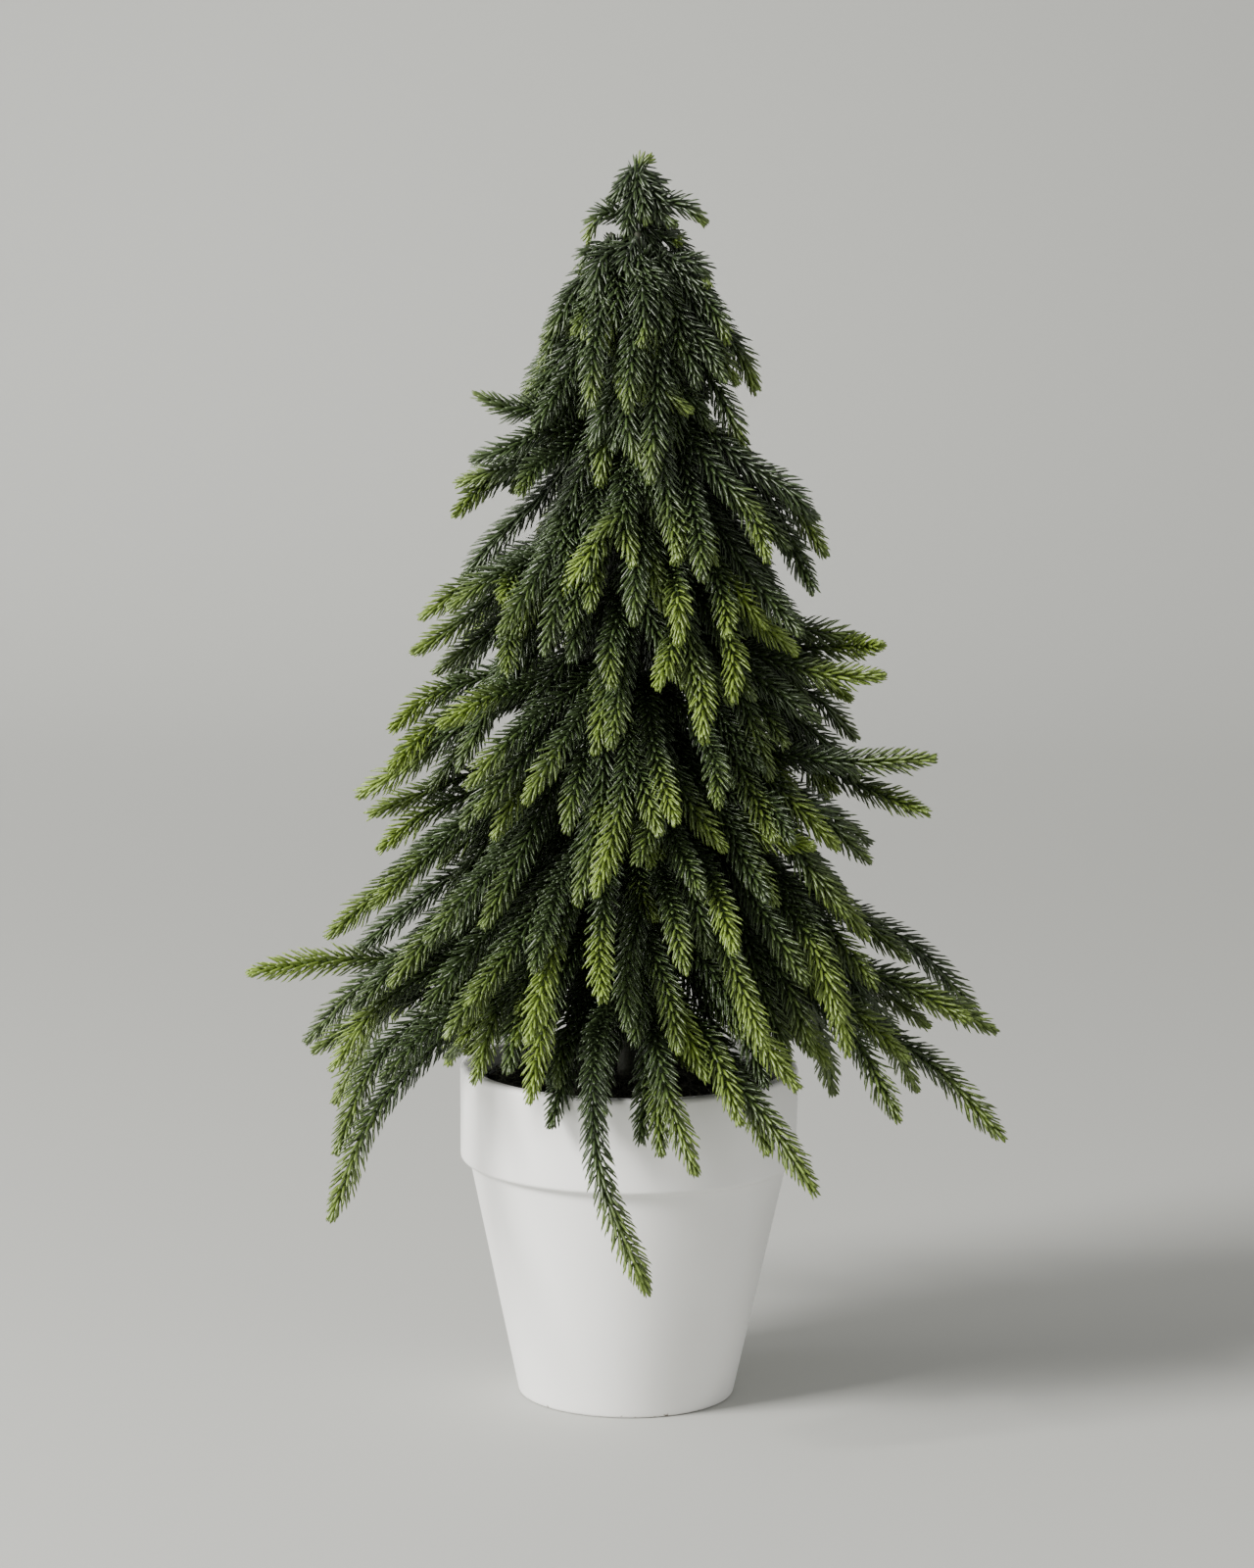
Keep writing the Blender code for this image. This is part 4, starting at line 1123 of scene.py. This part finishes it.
# a shallow dish with lumps, and bent fibres that lie on it
def makeCover(material, fibreMaterial):
    spec = cover
    edgeRadius = potInnerRadius(coverEdge) - clearance

    def ripple(radius, height, angles):
        x, y = radius * np.cos(angles), radius * np.sin(angles)
        lumps = np.sin(310 * x + 1) * np.sin(270 * y + 2) + 0.6 * np.sin(610 * x + 900 * y)
        top = height > coverEdge - 0.002
        fade = np.clip((edgeRadius - radius) / 0.004, 0, 1)
        return radius, height + np.where(top, spec["lump"] * lumps * fade * 0.6, 0)

    radii = np.linspace(trunkRodRadius + 0.0008, edgeRadius - 0.0006, spec["rows"])
    top = [(r, coverMiddle + (coverEdge - coverMiddle) * (r / edgeRadius) ** 2) for r in radii]
    foot = potInnerRadius(coverFoot) - clearance
    profile = [(0.0, coverMiddle), *top, (edgeRadius, coverEdge - 0.001), (foot, coverFoot), (0.0, coverFoot)]
    pile = Pile()
    points, faces = turnedSurface(profile, spec["columns"], ripple)
    pile.add(points, faces, 0)
    rng = np.random.default_rng(spec["seed"])
    for _ in range(spec["fibres"]):
        reach = edgeRadius * math.sqrt(rng.uniform(0.02, 0.90))
        angle = rng.uniform(0, 2 * math.pi)
        heading = rng.uniform(0, 2 * math.pi)
        bend = rng.uniform(-2.4, 2.4)
        length = rng.uniform(0.010, 0.024)
        share = np.linspace(-0.5, 0.5, 7)
        course = heading + bend * share
        x = reach * math.cos(angle) + length * share * np.cos(course)
        y = reach * math.sin(angle) + length * share * np.sin(course)
        away = np.hypot(x, y)
        hold = np.minimum(1.0, (edgeRadius - 0.0015) / np.maximum(away, 1e-6))
        z = coverMiddle + (coverEdge - coverMiddle) * (np.minimum(away, edgeRadius) / edgeRadius) ** 2
        z = z + 0.0005 + rng.uniform(0, 0.004) * np.cos(math.pi * share)
        line = np.stack([x * hold, y * hold, z], -1)
        fibrePoints, fibreFaces, _ = tube(line, np.full(7, spec["fibreRadius"]), 3)
        pile.add(fibrePoints, fibreFaces, 1)
    obj = pile.build("fibre_bed", [material, fibreMaterial])
    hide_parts("fibre_cover")
    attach(obj, "tree")
    print("fibre bed", len(obj.data.polygons), "faces")


# ---- trunk wrap: tape wound up the trunk, each turn lapping the last

wrap = {"tapePitch": 0.0105, "step": 0.00028, "columns": 36, "rows": 620}


# a tapered sleeve whose radius steps once for each turn of the tape
def makeWrap(material):
    spec = wrap
    heights = np.linspace(wrapTop, wrapFoot, spec["rows"])
    bore = trunkRodRadius + clearance
    outer = [(float(wrapRadius(z)) - 0.0003, float(z)) for z in heights]
    profile = [(bore, wrapTop), *outer, (bore, wrapFoot)]

    def ripple(radius, height, angles):
        turn = (height / spec["tapePitch"] - angles / (2 * math.pi)) % 1.0
        lap = spec["step"] * (1 - turn) + 0.00008 * np.sin(40 * turn + 7 * angles)
        outside = radius > bore + 1e-6
        return radius + np.where(outside, lap, 0), height

    columns = spec["columns"]
    points = spunPoints(np.array(profile), columns, ripple)
    rows = len(profile)
    quads = ringQuads(rows, columns)[:, ::-1]
    here = np.arange(columns)
    after = (here + 1) % columns
    last = (rows - 1) * columns
    seam = np.stack([last + here, here, after, last + after], -1)
    pile = Pile()
    pile.add(points, [quads, seam])
    obj = pile.build("tape_wrap", [material])
    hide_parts("trunk_wrap")
    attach(obj, "tree")
    print("tape wrap", len(obj.data.polygons), "faces")


# ---- CAD nodes that stay, with better finishes


# each slot of a CAD node wears the finish
def dressNode(name, material):
    obj = bpy.data.objects[name]
    for slot in obj.material_slots:
        slot.material = material


# ---- floor, light and camera

studio = {
    "floor": (0.386, 0.390, 0.368),
    "sweepStart": 1.7,
    "sweepRadius": 1.5,
    "wallHeight": 3.0,
    "halfWidth": 4.0,
    "keyPower": 166.0,
    "fillPower": 6.0,
    "wallPower": 12.0,
    "sidePower": 30.0,
    "worldStrength": 0.63,
    "cameraPlace": (-0.0055, -2.0, 0.570),
    "cameraPitch": 9.10,
    "cameraRoll": -0.6,
    "verticalView": 17.6,
}


# a floor that sweeps up into a wall, as a quarter circle between two straights
def makeStage():
    spec = studio
    start, bend = spec["sweepStart"], spec["sweepRadius"]
    curve = [(start + bend * math.sin(a), bend * (1 - math.cos(a))) for a in np.linspace(0, math.pi / 2, 25)]
    path = [(-4.5, 0.0), *curve, (start + bend, spec["wallHeight"])]
    across = np.array([-spec["halfWidth"], spec["halfWidth"]])
    points = np.array([(x, y, z) for y, z in path for x in across])
    here = np.arange(len(path) - 1)[:, None] * 2
    quads = here + np.array([[0, 1, 3, 2]])
    pile = Pile()
    pile.add(points, [quads])
    net = Net("paper_sweep")
    coords = net.coords()
    grain = net.noise(coords, 900.0, 3.0)
    net.set("Base Color", net.scaled(colour(*spec["floor"]), 0.985 + grain * 0.03))
    net.set("Roughness", 0.75 + grain * 0.1)
    pile.build("paper_sweep", [net.material])
    print("stage")


# a rectangle that faces its target
def areaLight(name, place, target, size, power, tint, spread=180):
    data = bpy.data.lights.new(name, "AREA")
    data.shape = "RECTANGLE"
    data.size, data.size_y = size
    data.energy = power
    data.color = tint
    data.spread = math.radians(spread)
    obj = bpy.data.objects.new(name, data)
    obj.location = place
    obj.rotation_euler = (Vector(target) - Vector(place)).to_track_quat("-Z", "Y").to_euler()
    bpy.context.scene.collection.objects.link(obj)


# a key from the left, a low one beside it, a faint fill, and one along the wall
def makeLights():
    spec = studio
    key, wall, side, fill = (spec[f"{name}Power"] for name in ("key", "wall", "side", "fill"))
    areaLight("key", (-1.85, -1.18, 1.70), (0.0, 0.0, 0.22), (0.9, 0.9), key, (1.0, 0.985, 0.96))
    areaLight("wall", (-0.5, 2.8, 2.3), (-0.4, 2.5, 0.0), (2.4, 0.8), wall, (1.0, 1.0, 0.98), 75)
    areaLight("side", (-2.3, -0.5, 0.45), (0.0, 0.0, 0.15), (0.9, 0.7), side, (1.0, 0.99, 0.97))
    areaLight("fill", (1.9, -1.9, 1.2), (0.0, 0.0, 0.25), (1.6, 1.6), fill, (0.96, 0.98, 1.0))
    world = bpy.data.worlds.new("room")
    world.use_nodes = True
    background = world.node_tree.nodes["Background"]
    background.inputs["Color"].default_value = (1.0, 0.995, 0.98, 1.0)
    background.inputs["Strength"].default_value = spec["worldStrength"]
    bpy.context.scene.world = world
    print("lights")


# lens = half the sensor / tan(half the vertical view)
def makeCamera():
    spec = studio
    data = bpy.data.cameras.new("camera")
    data.sensor_width = 36.0
    data.lens = 18.0 / math.tan(math.radians(spec["verticalView"] / 2))
    obj = bpy.data.objects.new("camera", data)
    obj.location = spec["cameraPlace"]
    obj.rotation_euler = (math.radians(90 - spec["cameraPitch"]), math.radians(spec["cameraRoll"]), 0.0)
    bpy.context.scene.collection.objects.link(obj)
    bpy.context.scene.camera = obj
    print("camera")


def main():
    rng = np.random.default_rng(layout["seed"])
    lines = Lines({**frontBoughs, **backBoughs(rng)}, rng)
    spread(lines)
    print("layout", len(lines.points), "lines")
    makeFoliage(lines, [foliageMaterial(foliage), grainMaterial("bound_wire")])
    makePot(potMaterial(pot))
    makeCover(grainMaterial("bed"), grainMaterial("fibres"))
    makeWrap(grainMaterial("crepe_tape"))
    dressNode("trunk_rod", grainMaterial("rod_steel", 1.0))
    dressNode("plaster_ballast", grainMaterial("set_plaster"))
    dressNode("foam_plug", grainMaterial("wet_foam"))
    makeStage()
    makeLights()
    makeCamera()


main()
